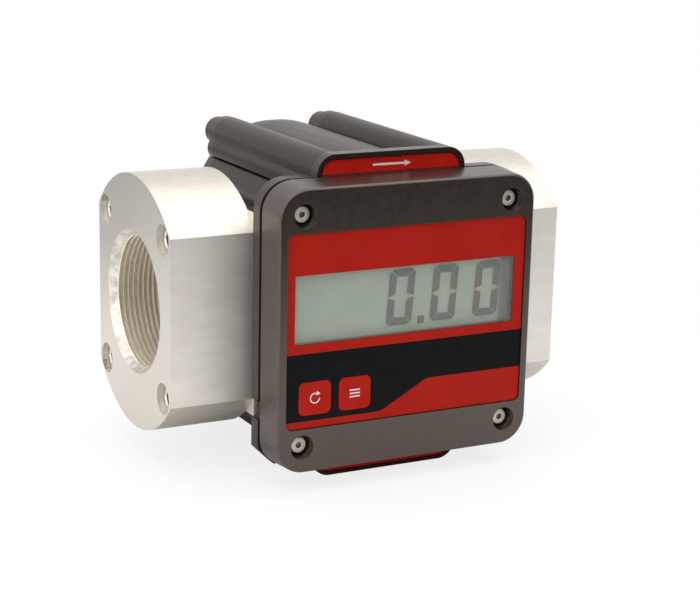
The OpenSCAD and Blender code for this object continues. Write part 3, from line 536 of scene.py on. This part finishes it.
def thread_group():
    """The form that a tap leaves: a cone at the mouth, then one helical groove that grows out of the
    cone, then a flat end. It starts at X 0 and runs along X, right-handed."""
    number, whole = "NodeSocketFloat", "NodeSocketInt"
    numbers = ("Pitch", "Start", "Crest radius", "Root radius", "Mouth radius", "Mouth depth", "Overrun")
    wholes = ("Turns", "Steps round", "Steps a turn")
    sockets = {**{name: number for name in numbers}, **{name: whole for name in wholes}}
    tree, given, result = group("pipe_thread", {**sockets, "Material": "NodeSocketMaterial"})
    found = {name: given[name] for name in numbers + wholes}
    place = add(tree, "ShaderNodeSeparateXYZ", {0: add(tree, "GeometryNodeInputPosition")})
    found["across"], found["along"] = place.outputs[0], place.outputs[1]
    for name, operation, *terms in (
        ("all turns", "ADD", "Turns", 2),
        ("rows", "MULTIPLY", "all turns", "Steps a turn"),
        ("points along", "ADD", "rows", 1),
        ("points round", "ADD", "Steps round", 1),
        ("share round", "ADD", "across", 0.5),
        ("share along", "ADD", "along", 0.5),
        ("near row", "MULTIPLY", "share along", "rows"),
        ("row", "ROUND", "near row"),
        ("turns so far", "DIVIDE", "row", "Steps a turn"),
        ("turn", "SUBTRACT", "turns so far", 2),
        ("wound turn", "ADD", "turn", "share round"),
        ("wound reach", "MULTIPLY", "wound turn", "Pitch"),
        ("reach", "ADD", "wound reach", "Start"),
        ("thread length", "MULTIPLY", "Turns", "Pitch"),
        ("end", "ADD", "Start", "thread length"),
        ("front", "MULTIPLY", "Overrun", -1),
        ("past front", "MAXIMUM", "reach", "front"),
        ("x", "MINIMUM", "past front", "end"),
        ("part turn", "FRACT", "turns so far"),
        ("from middle", "SUBTRACT", "part turn", 0.5),
        ("from root", "ABSOLUTE", "from middle"),
        ("cone rise", "SUBTRACT", "Mouth radius", "Crest radius"),
        ("slope", "DIVIDE", "cone rise", "Mouth depth"),
        ("fall", "MULTIPLY", "x", "slope"),
        ("cone", "SUBTRACT", "Mouth radius", "fall"),
        ("last", "SUBTRACT", "end", END_SLACK),
        ("past end", "GREATER_THAN", "reach", "last"),
        ("into thread", "SUBTRACT", "x", "Mouth depth"),
        ("angle", "MULTIPLY", "share round", math.tau),
        ("cosine", "COSINE", "angle"),
        ("sine", "SINE", "angle"),
    ):
        values = {i: found.get(term, term) for i, term in enumerate(terms)}
        found[name] = add(tree, "ShaderNodeMath", values, operation=operation)
    groove = add(
        tree,
        "ShaderNodeMapRange",
        {
            "Value": found["from root"],
            "From Min": ROOT_END,
            "From Max": CREST_START,
            "To Min": given["Root radius"],
            "To Max": given["Crest radius"],
        },
        interpolation_type="SMOOTHSTEP",
    )
    grown_share = add(
        tree,
        "ShaderNodeMapRange",
        {"Value": found["into thread"], "From Min": GROOVE_FADE[0], "From Max": GROOVE_FADE[1]},
    )
    cut_wall = add(tree, "ShaderNodeMix", {0: grown_share, 2: given["Crest radius"], 3: groove})
    wall = add(tree, "ShaderNodeMath", {0: cut_wall, 1: found["cone"]}, operation="MAXIMUM")
    radius = add(tree, "ShaderNodeMix", {0: found["past end"], 2: wall, 3: given["Crest radius"]})
    across = add(tree, "ShaderNodeMath", {0: found["cosine"], 1: radius}, operation="MULTIPLY")
    upward = add(tree, "ShaderNodeMath", {0: found["sine"], 1: radius}, operation="MULTIPLY")
    point = add(tree, "ShaderNodeCombineXYZ", {0: found["x"], 1: across, 2: upward})
    grid = add(
        tree,
        "GeometryNodeMeshGrid",
        {
            "Size X": 1.0,
            "Size Y": 1.0,
            "Vertices X": found["points round"],
            "Vertices Y": found["points along"],
        },
    )
    wound = add(tree, "GeometryNodeSetPosition", {"Geometry": grid, "Position": point})
    merged = add(tree, "GeometryNodeMergeByDistance", {"Geometry": wound, "Distance": GRID_WELD})
    rim = add(tree, "GeometryNodeInputMeshEdgeNeighbors")
    open_edge = add(tree, "FunctionNodeCompare", {2: rim, 3: 1}, data_type="INT", operation="EQUAL")
    capped = add(
        tree,
        "GeometryNodeExtrudeMesh",
        {"Mesh": merged, "Selection": open_edge, "Offset Scale": 0.0},
        mode="EDGES",
    )
    here = add(tree, "GeometryNodeInputPosition")
    on_axis = add(tree, "ShaderNodeVectorMath", {0: here, 1: (1, 0, 0)}, operation="MULTIPLY")
    closed = add(
        tree,
        "GeometryNodeSetPosition",
        {"Geometry": capped, "Selection": capped.outputs["Top"], "Position": on_axis},
    )
    whole_form = add(tree, "GeometryNodeMergeByDistance", {"Geometry": closed, "Distance": GRID_WELD})
    real = add(tree, "GeometryNodeRealizeInstances", {"Geometry": whole_form})
    dressed = add(tree, "GeometryNodeSetMaterial", {"Geometry": real, "Material": given["Material"]})
    tree.links.new(dressed.outputs[0], result)
    return tree


def pattern_group():
    """Copies of one piece on a grid of rows and columns, then turned and moved into place."""
    number, vector, whole = "NodeSocketFloat", "NodeSocketVector", "NodeSocketInt"
    tree, given, result = group(
        "placed_copies",
        {
            "Piece": "NodeSocketObject",
            "Columns": whole,
            "Rows": whole,
            "Width": number,
            "Height": number,
            "Turn": "NodeSocketRotation",
            "Place": vector,
            "Material": "NodeSocketMaterial",
        },
    )
    grid = add(
        tree,
        "GeometryNodeMeshGrid",
        {
            "Size X": given["Width"],
            "Size Y": given["Height"],
            "Vertices X": given["Columns"],
            "Vertices Y": given["Rows"],
        },
    )
    copied = add(tree, "GeometryNodeObjectInfo", {"Object": given["Piece"]})
    placed = add(
        tree, "GeometryNodeInstanceOnPoints", {"Points": grid, "Instance": copied.outputs["Geometry"]}
    )
    real = add(tree, "GeometryNodeRealizeInstances", {"Geometry": placed})
    moved = add(
        tree,
        "GeometryNodeTransform",
        {"Geometry": real, "Translation": given["Place"], "Rotation": given["Turn"]},
    )
    dressed = add(tree, "GeometryNodeSetMaterial", {"Geometry": moved, "Material": given["Material"]})
    tree.links.new(dressed.outputs[0], result)
    return tree


THREAD_GROUP, PATTERN_GROUP = thread_group(), pattern_group()

# Flanges

THREAD_PITCH = 2.309
THREAD_TURNS = 11
THREAD_START = 1.624
THREAD_ROOT_R = 29.8
MOUTH_R = 31.0
MOUTH_DEPTH = 3.6
CREST_R = {"inlet": 28.34, "outlet": 28.64}
PASSAGE_R = 22.0
PASSAGE_START = 20.0
FOOT_T = 15.0
FOOT_H = 87.0
SCREW_REACH = 33.6
COUNTERBORE_R = 6.75
COUNTERBORE_DEPTH = 10.5
FLANGE_EDGE = 0.5
# A radius too small to see, for corners that stay sharp
SHARP_R = 0.01
# How far a cutting form reaches past what it cuts
OVERRUN = 1
# How the finishes are told apart: depth of the turned face, end of the cone before the thread,
# depth of the drawn round, how squarely a face looks along an axis, and the tilt of a broken edge
FACE_DEPTH = 0.2
CONE_SLACK = 0.3
ROUND_DEPTH = 1.2
SQUARE = 0.9
EDGE_TILT = (0.1, 0.98)


def disc_outline():
    """The round of a flange between its two flats, as an outline in Y and Z."""
    corner = math.acos(FLAT_Y / FLANGE_R)
    top = angles(72, corner, math.pi - 2 * corner) + [math.pi - corner]
    arc = [(FLANGE_R * math.cos(a), FLANGE_R * math.sin(a)) for a in top]
    return arc + [(-y, -z) for y, z in arc]


def flange(side):
    """One flange, drawn at the inlet and turned half round for the outlet, which keeps its thread
    right-handed."""
    disc_end = FLANGE_L - FOOT_T
    rings = [[(x, y, z) for y, z in disc_outline()] for x in (0, disc_end)]
    disc = lofted(side + "_flange_casting", rings)
    foot = round_rect(2 * FLAT_Y, FOOT_H, SHARP_R, steps=1)
    foot_piece = lofted("foot", [[(x, y, z) for y, z in foot] for x in (disc_end, FLANGE_L)])
    combine(disc, "UNION", foot_piece)
    for sy in (-1, 1):
        for sz in (-1, 1):
            at = (-OVERRUN, sy * SCREW_REACH, sz * SCREW_REACH)
            bore = rod("bore", at, (1, 0, 0), COUNTERBORE_R, COUNTERBORE_DEPTH + OVERRUN, 48)
            combine(disc, "DIFFERENCE", bore)
    soften(disc, FLANGE_EDGE, 3)
    tap = grown(
        "tap",
        THREAD_GROUP,
        {
            "Pitch": THREAD_PITCH,
            "Turns": THREAD_TURNS,
            "Start": THREAD_START,
            "Crest radius": CREST_R[side],
            "Root radius": THREAD_ROOT_R,
            "Mouth radius": MOUTH_R,
            "Mouth depth": MOUTH_DEPTH,
            "Overrun": float(OVERRUN),
            "Steps round": 144,
            "Steps a turn": 12,
            "Material": THREADED,
        },
    )
    outward(tap)
    combine(disc, "DIFFERENCE", tap)
    passage = rod("bore", (PASSAGE_START, 0, 0), (1, 0, 0), PASSAGE_R, FLANGE_L, 96)
    combine(disc, "DIFFERENCE", passage)
    mesh = disc.data
    finishes = [MILLED, TURNED, DRAWN, THREADED, CHAMFERED, SMOOTH, EDGE_HIGHLIGHT]
    coat(mesh, finishes)
    for face in mesh.polygons:
        depth = face.center.x
        reach = math.hypot(face.center.y, face.center.z)
        along, upward = abs(face.normal.x), abs(face.normal.z)
        if along > SQUARE and depth < FACE_DEPTH:
            wanted = TURNED
        elif reach < MOUTH_R and depth < MOUTH_DEPTH - CONE_SLACK:
            wanted = CHAMFERED
        elif reach < MOUTH_R and depth < FLANGE_L - OVERRUN:
            wanted = THREADED
        elif depth < FLANGE_EDGE and EDGE_TILT[0] < along < EDGE_TILT[1]:
            wanted = EDGE_HIGHLIGHT
        elif depth > disc_end and upward > SQUARE:
            wanted = SMOOTH
        elif reach > FLANGE_R - ROUND_DEPTH and along < SQUARE:
            wanted = DRAWN
        else:
            wanted = MILLED
        face.material_index = finishes.index(wanted)
    if side == "outlet":
        mesh.transform(Matrix.Translation((LENGTH, 0, 0)) @ Matrix.Rotation(math.pi, 4, "Z"))
    settle(disc, "meter", "bright_aluminium", finishes, side + "_flange", sharp=34)


# Screws


def hexagon(width, steps):
    """A regular hexagon, width across its flats, as points at equal angles."""
    made = []
    for a in angles(steps):
        off = (a + math.pi / 6) % (math.pi / 3) - math.pi / 6
        reach = width / 2 / math.cos(off)
        made.append((reach * math.cos(a), reach * math.sin(a)))
    return made


def socket_screw(shank_l, head_d, head_h, socket_w, shank_d, dome):
    """A socket screw whose head's top lies at Z 0, with its shank below, and rounded edges."""
    steps = 48
    edge = 0.05 * head_d
    flare = 0.1 * socket_w
    point_r = 0.41 * shank_d
    socket_floor, socket_tip = 0.6 * head_h, 0.68 * head_h
    corner_r = socket_w / math.sqrt(3)

    def circle(radius, z):
        return [(radius * math.cos(a), radius * math.sin(a), z) for a in angles(steps)]

    def hexes(width, z):
        return [(x, y, z) for x, y in hexagon(width, steps)]

    rings = [
        circle(point_r, -head_h - shank_l),
        circle(shank_d / 2, -head_h - shank_l + shank_d * 0.1),
        circle(shank_d / 2, -head_h),
        circle(head_d / 2 - edge / 2, -head_h),
        circle(head_d / 2, -head_h + edge / 2),
        circle(head_d / 2, -edge - dome),
        circle(head_d / 2 - edge * 0.3, -edge * 0.3 - dome),
        circle(head_d / 2 - edge, -dome),
        circle(head_d / 2 - edge * 3, -dome * 0.4),
        circle(corner_r + flare * 1.6, -dome * 0.1),
        circle(corner_r + flare * 0.6, 0),
        hexes(socket_w, -flare),
        hexes(socket_w, -socket_floor),
        hexes(socket_w * 0.05, -socket_tip),
    ]
    return lofted("one_screw", rings)


# Diameter and height of the head, width of the socket, diameter of the shank, rise of the dome
FLANGE_SCREW = (13.0, 8.0, 6.8, 8.0, 0.0)
BEZEL_SCREW = (6.6, 2.2, 2.4, 4.0, 0.2)
TIE_BOLT = (8.5, 5.0, 4.4, 5.0, 0.0)
# Diameter of the bezel screws' heads in the CAD, which gives their places
BEZEL_HEAD_D = 7.0


def screws():
    """All the screws that show, each set of four in the place of its CAD node."""
    quarter = math.pi / 2
    near_x, far_x = box("inlet_screws")[0].x, box("outlet_screws")[1].x
    front, tie = box("bezel_screws"), box("tie_bolts")
    flange_span = (2 * SCREW_REACH, 2 * SCREW_REACH)
    front_span = (front[1].x - front[0].x - BEZEL_HEAD_D,) * 2
    tie_span = (tie[1].x - tie[0].x - TIE_BOLT[0], tie[1].z - tie[0].z - TIE_BOLT[0])
    for node, sizes, span, turn, place, metal in (
        ("inlet_screws", FLANGE_SCREW, flange_span, (0, -quarter, 0), (near_x, 0, 0), ZINC),
        ("outlet_screws", FLANGE_SCREW, flange_span, (0, quarter, 0), (far_x, 0, 0), ZINC),
        ("bezel_screws", BEZEL_SCREW, front_span, (quarter, 0, 0), (MID_X, front[0].y, 0), PALE_ZINC),
        ("tie_bolts", TIE_BOLT, tie_span, (-quarter, 0, 0), (MID_X, tie[1].y, 0), ZINC),
    ):
        low, high = box(node)
        length = high.x - low.x if turn[1] else high.y - low.y
        head_h, socket_w = sizes[1:3]
        screw = socket_screw(length - head_h, *sizes)
        made = grown(
            node + "_set",
            PATTERN_GROUP,
            {
                "Piece": screw,
                "Columns": 2,
                "Rows": 2,
                "Width": span[0],
                "Height": span[1],
                "Turn": turn,
                "Place": place,
                "Material": metal,
            },
        )
        outward(made)
        bpy.data.objects.remove(screw)
        spot = Matrix.Translation(place) @ Euler(turn).to_matrix().to_4x4()
        shade_sockets(made, metal, socket_w, head_h, span, spot)
        settle(made, "meter", "zinc_steel", [metal, SOCKET_SHADE], node, sharp=35)


def shade_sockets(piece, metal, socket_w, head_h, span, place):
    """Gives the inner faces of the hexagons a darker metal, as painted shade in the sockets."""
    coat(piece.data, [metal, SOCKET_SHADE])
    back = place.inverted()
    deep, shallow = -0.9 * head_h, -0.12 * socket_w
    for face in piece.data.polygons:
        x, y, z = back @ face.center
        off = math.hypot(abs(x) - span[0] / 2, abs(y) - span[1] / 2)
        if off < socket_w / math.sqrt(3) and deep < z < shallow:
            face.material_index = 1


# Housing and display head

RECESS_R = 5.1
RECESS_FLOOR_R = 3.9
# How exactly a point has to lie on a recess's wall, and how far before a head its deep end starts
RECESS_SLACK = 0.02
RECESS_LIP = 0.5


def taper_recesses(piece):
    """Draws in the deep end of the round recesses of the bezel's screws, so that their walls catch
    light."""
    low, high = box("bezel_screws")
    half = (high.x - low.x - BEZEL_HEAD_D) / 2
    for vertex in piece.data.vertices:
        point = vertex.co
        x = MID_X + math.copysign(half, point.x - MID_X)
        middle = Vector((x, point.y, math.copysign(half, point.z)))
        off = point - middle
        if abs(off.length - RECESS_R) < RECESS_SLACK and point.y > low.y - RECESS_LIP:
            vertex.co = middle + off * RECESS_FLOOR_R / RECESS_R


def housing():
    """The dark pieces, with their edges rounded."""
    for node, name, slot, material, edge in (
        ("meter_body", "body_extrusion", "black_housing", HOUSING, 0.35),
        ("front_cover", "front_plate", "black_housing", COVER, 0.5),
        ("rear_cover", "rear_cap", "black_housing", COVER, 0.5),
        ("display_bezel", "bezel_frame", "bezel_plastic", BEZEL, 0.3),
    ):
        piece = cad_copy(node, name)
        if node == "display_bezel":
            taper_recesses(piece)
        soften(piece, edge)
        settle(piece, "meter", slot, material, node)


KEY_W = 14.6
KEY_H = 14.0
KEY_CORNER_R = 2.6
KEY_Z = -27.8
KEY_X = {"reset": -42.3, "total": -24.1}
KEY_GAP = 0.3
KEY_EDGE = 0.09
PRINT_T = 0.03
BAND_TOP_Z = -8.8
BAND_LOW_Z = -37.2
BAND_STEP_Z = -25.3
# The slanted step from the deep end of the band to its narrow end, from the middle
BAND_STEP = [(11.5, 0.0), (9.2, -0.35), (7.0, -1.5), (-9.7, -10.7), (-11.8, -11.6), (-14.1, -11.9)]
# The round arrow: its radius, stroke and turns, and the corners of its head from its middle
ARROW_R = 2.3
ARROW_STROKE = 0.5
ARROW_START, ARROW_SWEEP = math.radians(75), math.radians(285)
ARROW_HEAD = [(2.45, 1.75), (0.85, 3.0), (0.5, 1.0)]
# The three bars
BAR_W = 4.8
BAR_H = 0.6
BAR_PITCH = 1.4
BAR_CORNER_R = 0.15


def band_outline():
    """The black band: deep at the left, with a slanted step up to its narrow right end."""
    left, right = MID_X - OVERLAY_W / 2 - OVERRUN, MID_X + OVERLAY_W / 2 + OVERRUN
    return [
        (right, BAND_TOP_Z),
        (left, BAND_TOP_Z),
        (left, BAND_LOW_Z),
        *[(MID_X + x, BAND_STEP_Z + z) for x, z in BAND_STEP[::-1]],
        (right, BAND_STEP_Z),
    ]


def overlay():
    """The printed film, in a red and a black piece, each with its openings."""
    for name, slot, material, operation in (
        ("overlay_red", "overlay_film", RED, "DIFFERENCE"),
        ("overlay_band", "overlay_film", BLACK, "INTERSECT"),
    ):
        outline = round_rect(OVERLAY_W, OVERLAY_H, OVERLAY_CORNER_R, MID_X, OVERLAY_Z)
        film = slab(name, outline, OVERLAY_FRONT, OVERLAY_BACK)
        reach = (OVERLAY_FRONT - OVERRUN, OVERLAY_BACK + OVERRUN)
        combine(film, operation, slab("band", band_outline(), *reach))
        window = round_rect(WINDOW_W, WINDOW_H, 0.3, MID_X + WINDOW_X, WINDOW_Z, 2)
        combine(film, "DIFFERENCE", slab("window", window, *reach))
        for x in KEY_X.values():
            size = (KEY_W + 2 * KEY_GAP, KEY_H + 2 * KEY_GAP, KEY_CORNER_R + KEY_GAP)
            hole = round_rect(*size, MID_X + x, KEY_Z)
            combine(film, "DIFFERENCE", slab("key_hole", hole, *reach))
        nodes = ["face_overlay"] if name == "overlay_red" else []
        settle(film, "meter", slot, material, *nodes)


def ring_part(x, z, radius, width, start, sweep):
    """An open ring, as an outline in X and Z."""
    steps = 28
    turns = [start + sweep * i / steps for i in range(steps + 1)]
    outer = [(x + radius * math.cos(a), z + radius * math.sin(a)) for a in turns]
    inner = [(x + (radius - width) * math.cos(a), z + (radius - width) * math.sin(a)) for a in turns]
    return outer + inner[::-1]


def keys():
    """The key pads with their edges rounded, and a plain sign on each: a round arrow for setting back
    to nought, and a stack of bars for the sum."""
    for name in KEY_X:
        pad = cad_copy(name + "_key", name + "_key_pad")
        soften(pad, KEY_EDGE)
        settle(pad, name + "_key_set", "key_red", KEY, name + "_key")
    sign_front = KEY_FRONT - PRINT_T
    x = MID_X + KEY_X["reset"]
    head = [(x + dx, KEY_Z + dz) for dx, dz in ARROW_HEAD]
    turn = ring_part(x, KEY_Z, ARROW_R, ARROW_STROKE, ARROW_START, ARROW_SWEEP)
    arrow = slab("reset_key_sign", turn, sign_front, KEY_FRONT)
    join(arrow, slab("head", head, sign_front, KEY_FRONT))
    settle(arrow, "reset_key_set", "key_red", PRINT)
    x = MID_X + KEY_X["total"]
    bars = [
        round_rect(BAR_W, BAR_H, BAR_CORNER_R, x, KEY_Z + rise, 3)
        for rise in (-BAR_PITCH, 0.0, BAR_PITCH)
    ]
    stack = slab("total_key_sign", bars[0], sign_front, KEY_FRONT)
    for outline in bars[1:]:
        join(stack, slab("bar", outline, sign_front, KEY_FRONT))
    settle(stack, "total_key_set", "key_red", PRINT)


def label_marks():
    """A plain arrow on the upper label that shows which way the oil flows."""
    low, high = box("upper_label")
    z = (low.z + high.z) / 2
    shaft, head = 0.45, 1.25
    tail_x, tip_x = MID_X - 9.0, MID_X + 9.0
    neck_x = tip_x - 3.2
    arrow = [
        (tail_x, z - shaft),
        (neck_x, z - shaft),
        (neck_x, z - head),
        (tip_x, z),
        (neck_x, z + head),
        (neck_x, z + shaft),
        (tail_x, z + shaft),
    ]
    made = slab("flow_arrow", arrow, LABEL_FRONT - PRINT_T, LABEL_FRONT)
    settle(made, "meter", "label_red", PRINT)


# Display

DIGIT_W = 12.2
DIGIT_H = 24.0
DIGIT_PITCH = 20.6
DIGIT_SLANT = 1.7
DIGIT_CORNER_R = 2.6
STROKE = 3.5
STROKE_GAP = 0.32
DIGIT_LEFT = -9.0
DIGIT_LOW_Z = -2.0
DIGIT_LIFT = 0.35
DIGIT_T = 0.06
DOT_W = 3.2
DOT_X = 16.5
DOT_Z = 1.4


def shrunk(outline, gap):
    """A convex outline drawn in by a gap all round."""
    made = []
    count = len(outline)
    for i in range(count):
        before, here, after = (Vector(outline[(i + k) % count]) for k in (-1, 0, 1))
        one, two = (here - before).normalized(), (after - here).normalized()
        inward = Vector((-one.y - two.y, one.x + two.x)) / 2
        made.append(tuple(here + inward * gap / max(0.3, (1 + one.dot(two)) / 2)))
    return made


def zero_segments():
    """The six lit strokes of a nought, as outlines in a box whose corner is at 0."""
    w, h, s, m, r = DIGIT_W, DIGIT_H, STROKE, DIGIT_H / 2, DIGIT_CORNER_R

    def corner(x, z, first, last):
        turns = [math.pi / 4 * (first + (last - first) * i / 5) for i in range(6)]
        return [(x + r * math.cos(a), z + r * math.sin(a)) for a in turns]

    cut, nick, point = 1.35, 0.2, 0.5
    top = [(s, h - s), (w - s, h - s), *corner(w - r, h - r, 1, 2), *corner(r, h - r, 2, 3)]
    left = [(s, h - s), *corner(r, h - r, 3, 4), (0, m + nick), (point, m + nick), (s, m + cut)]
    right = [(w - s, h - s), (w - s, m + cut), (w - point, m + nick), (w, m + nick)]
    right += corner(w - r, h - r, 0, 1)
    upper = [top, left, right]
    lower = [[(x, h - z) for x, z in outline][::-1] for outline in upper]
    return [shrunk(outline, STROKE_GAP / 2) for outline in upper + lower]


def digits():
    """The reading of the display: noughts made of strokes, and a point, slanted as one."""
    y0, y1 = GLASS_FRONT - DIGIT_LIFT - DIGIT_T, GLASS_FRONT - DIGIT_LIFT
    strokes = [slab("one_digit", outline, y0, y1) for outline in zero_segments()]
    one = strokes[0]
    for stroke in strokes[1:]:
        join(one, stroke)
    row = grown(
        "display_digits",
        PATTERN_GROUP,
        {
            "Piece": one,
            "Columns": 3,
            "Rows": 1,
            "Width": 2 * DIGIT_PITCH,
            "Height": 0.0,
            "Turn": (0, 0, 0),
            "Place": (DIGIT_PITCH, 0, 0),
            "Material": SEGMENTS,
        },
    )
    bpy.data.objects.remove(one)
    join(row, slab("dot", round_rect(DOT_W, DOT_W, 0.3, DOT_X, DOT_Z, 3), y0, y1))
    lean = Matrix.Identity(4)
    lean[0][2] = DIGIT_SLANT / DIGIT_H
    row.data.transform(Matrix.Translation((MID_X + DIGIT_LEFT, 0, DIGIT_LOW_Z)) @ lean)
    settle(row, "meter", "display_grey", SEGMENTS)


# Camera, floor and lights


def place_camera():
    """The photograph's camera, round the middle of the meter on its flow axis."""
    a, e, r = (math.radians(v) for v in (CAMERA_AZIMUTH, CAMERA_ELEVATION, CAMERA_ROLL))
    back = Vector((math.sin(a) * math.cos(e), -math.cos(a) * math.cos(e), math.sin(e)))
    right = Vector((0, 0, 1)).cross(back).normalized()
    up = back.cross(right)
    right, up = math.cos(r) * right + math.sin(r) * up, math.cos(r) * up - math.sin(r) * right
    middle = Vector((MID_X, 0, 0))
    place = middle + CAMERA_SIDE * right + CAMERA_RISE * up + CAMERA_DISTANCE * back
    data = bpy.data.cameras.new("camera")
    camera = bpy.data.objects.new("camera", data)
    bpy.context.scene.collection.objects.link(camera)
    turn = Matrix((right, up, back)).transposed().to_4x4()
    camera.matrix_world = Matrix.Translation(place * MM) @ turn
    data.sensor_width = SENSOR_W
    data.lens = CAMERA_FOCUS_PX / PHOTO_W * SENSOR_W
    data.shift_x = -CENTRE_SHIFT_PX[0] / PHOTO_W
    data.shift_y = CENTRE_SHIFT_PX[1] / PHOTO_W
    data.clip_start, data.clip_end = 0.01, 50
    bpy.context.scene.camera = camera


FLOOR_HALF = 4000
FLOOR_TONE = 0.92
FLOOR_ROUGHNESS = 0.9
# Where the floor's tone starts to change and where it has, in metres along Y, and its tone there
FRONT_FADE = (-0.3, -0.44, 0.02)
BACK_FADE = (0.2, 0.45, 0.5)
# Distances from the meter, in metres, between which the camera sees the floor turn white
WHITE_FADE = (0.1, 0.3)
SHADOW_WHITE = 0.8
SKY_LEVEL = 0.76
# Left, right, lower and upper edge of the dark card
CARD = (-500, 1700, -68, 260)
CARD_Y = -900
CARD_SHADE = 0.02
# Place, target, width and height, and power of each softbox
LAMPS = {
    "top_softbox": ((60, -100, 900), (92, 0, 0), (1800, 1600), 9.6),
    "left_softbox": ((-900, -350, 350), (60, 0, 0), (1000, 900), 2.7),
}


def stage_sheet(name, corners, base, roughness):
    """A flat sheet of the studio with its own plain material. Returns the object, its tree and
    shader."""
    made = piece_of(name, corners, [(0, 1, 2, 3)])
    made.data.transform(Matrix.Scale(MM, 4))
    paper = bpy.data.materials.new(name + "_paper")
    paper.use_nodes = True
    shader = paper.node_tree.nodes["Principled BSDF"]
    shader.inputs["Base Color"].default_value = (base, base, base, 1)
    shader.inputs["Roughness"].default_value = roughness
    made.data.materials.append(paper)
    return made, paper.node_tree, shader


def stage():
    """A pale floor that keeps the shadow and turns dark far out in front and dim far behind,
    where it only shows as a reflection, a dark card out of view, two softboxes and a white sky."""
    scene = bpy.context.scene
    corners = [
        (x * FLOOR_HALF, y * FLOOR_HALF, FLOOR_Z) for x, y in ((-1, -1), (1, -1), (1, 1), (-1, 1))
    ]
    tree, shader = stage_sheet("floor", corners, FLOOR_TONE, FLOOR_ROUGHNESS)[1:]
    place = add(tree, "ShaderNodeTexCoord").outputs["Object"]
    along = add(tree, "ShaderNodeSeparateXYZ", {0: place})
    fades = []
    for start, end, tone in (FRONT_FADE, BACK_FADE):
        span = {"Value": along.outputs[1], "From Min": start, "From Max": end}
        fades.append(add(tree, "ShaderNodeMapRange", {**span, "To Min": FLOOR_TONE, "To Max": tone}))
    shade = add(tree, "ShaderNodeMath", dict(enumerate(fades)), operation="MINIMUM")
    tree.links.new(shade.outputs[0], shader.inputs["Base Color"])
    middle = (MID_X * MM, 0, FLOOR_Z * MM)
    away = add(tree, "ShaderNodeVectorMath", {0: place, 1: middle}, operation="DISTANCE")
    span = {"Value": away.outputs["Value"], "From Min": WHITE_FADE[0], "From Max": WHITE_FADE[1]}
    white_values = {**span, "To Min": SHADOW_WHITE, "To Max": 1.0}
    white = add(tree, "ShaderNodeMapRange", white_values, interpolation_type="SMOOTHSTEP")
    seen = add(tree, "ShaderNodeLightPath").outputs["Is Camera Ray"]
    share = add(tree, "ShaderNodeMath", {0: seen, 1: white}, operation="MULTIPLY")
    glow = add(tree, "ShaderNodeEmission", {"Color": (1, 1, 1, 1), "Strength": 1.0})
    mixed = add(tree, "ShaderNodeMixShader", {0: share, 1: shader, 2: glow})
    tree.links.new(mixed.outputs[0], tree.nodes["Material Output"].inputs[0])

    x0, x1, z0, z1 = CARD
    corners = [(x0, CARD_Y, z0), (x1, CARD_Y, z0), (x1, CARD_Y, z1), (x0, CARD_Y, z1)]
    card = stage_sheet("dark_card", corners, CARD_SHADE, 1.0)[0]
    card.visible_camera = False
    card.visible_diffuse = False
    card.visible_shadow = False

    for name, (place, target, size, power) in LAMPS.items():
        data = bpy.data.lights.new(name, "AREA")
        data.shape = "RECTANGLE"
        data.size, data.size_y = (s * MM for s in size)
        data.energy = power
        lamp = bpy.data.objects.new(name, data)
        scene.collection.objects.link(lamp)
        look = Vector(place) - Vector(target)
        lamp.location = Vector(place) * MM
        lamp.rotation_euler = look.to_track_quat("Z", "Y").to_euler()

    world = bpy.data.worlds.new("sky")
    scene.world = world
    world.use_nodes = True
    tree = world.node_tree
    rays = add(tree, "ShaderNodeLightPath").outputs
    seen = rays["Is Camera Ray"]
    for kind in ("Is Glossy Ray", "Is Transmission Ray"):
        seen = add(tree, "ShaderNodeMath", {0: seen, 1: rays[kind]}, operation="MAXIMUM")
    level = add(tree, "ShaderNodeMix", {0: seen, 2: SKY_LEVEL, 3: 1.0})
    sky = tree.nodes["Background"]
    sky.inputs["Color"].default_value = (1, 1, 1, 1)
    tree.links.new(level.outputs[0], sky.inputs["Strength"])
    scene.view_settings.view_transform = "Standard"


place_camera()
stage()
for each_side in ("inlet", "outlet"):
    flange(each_side)
screws()
housing()
overlay()
keys()
label_marks()
digits()
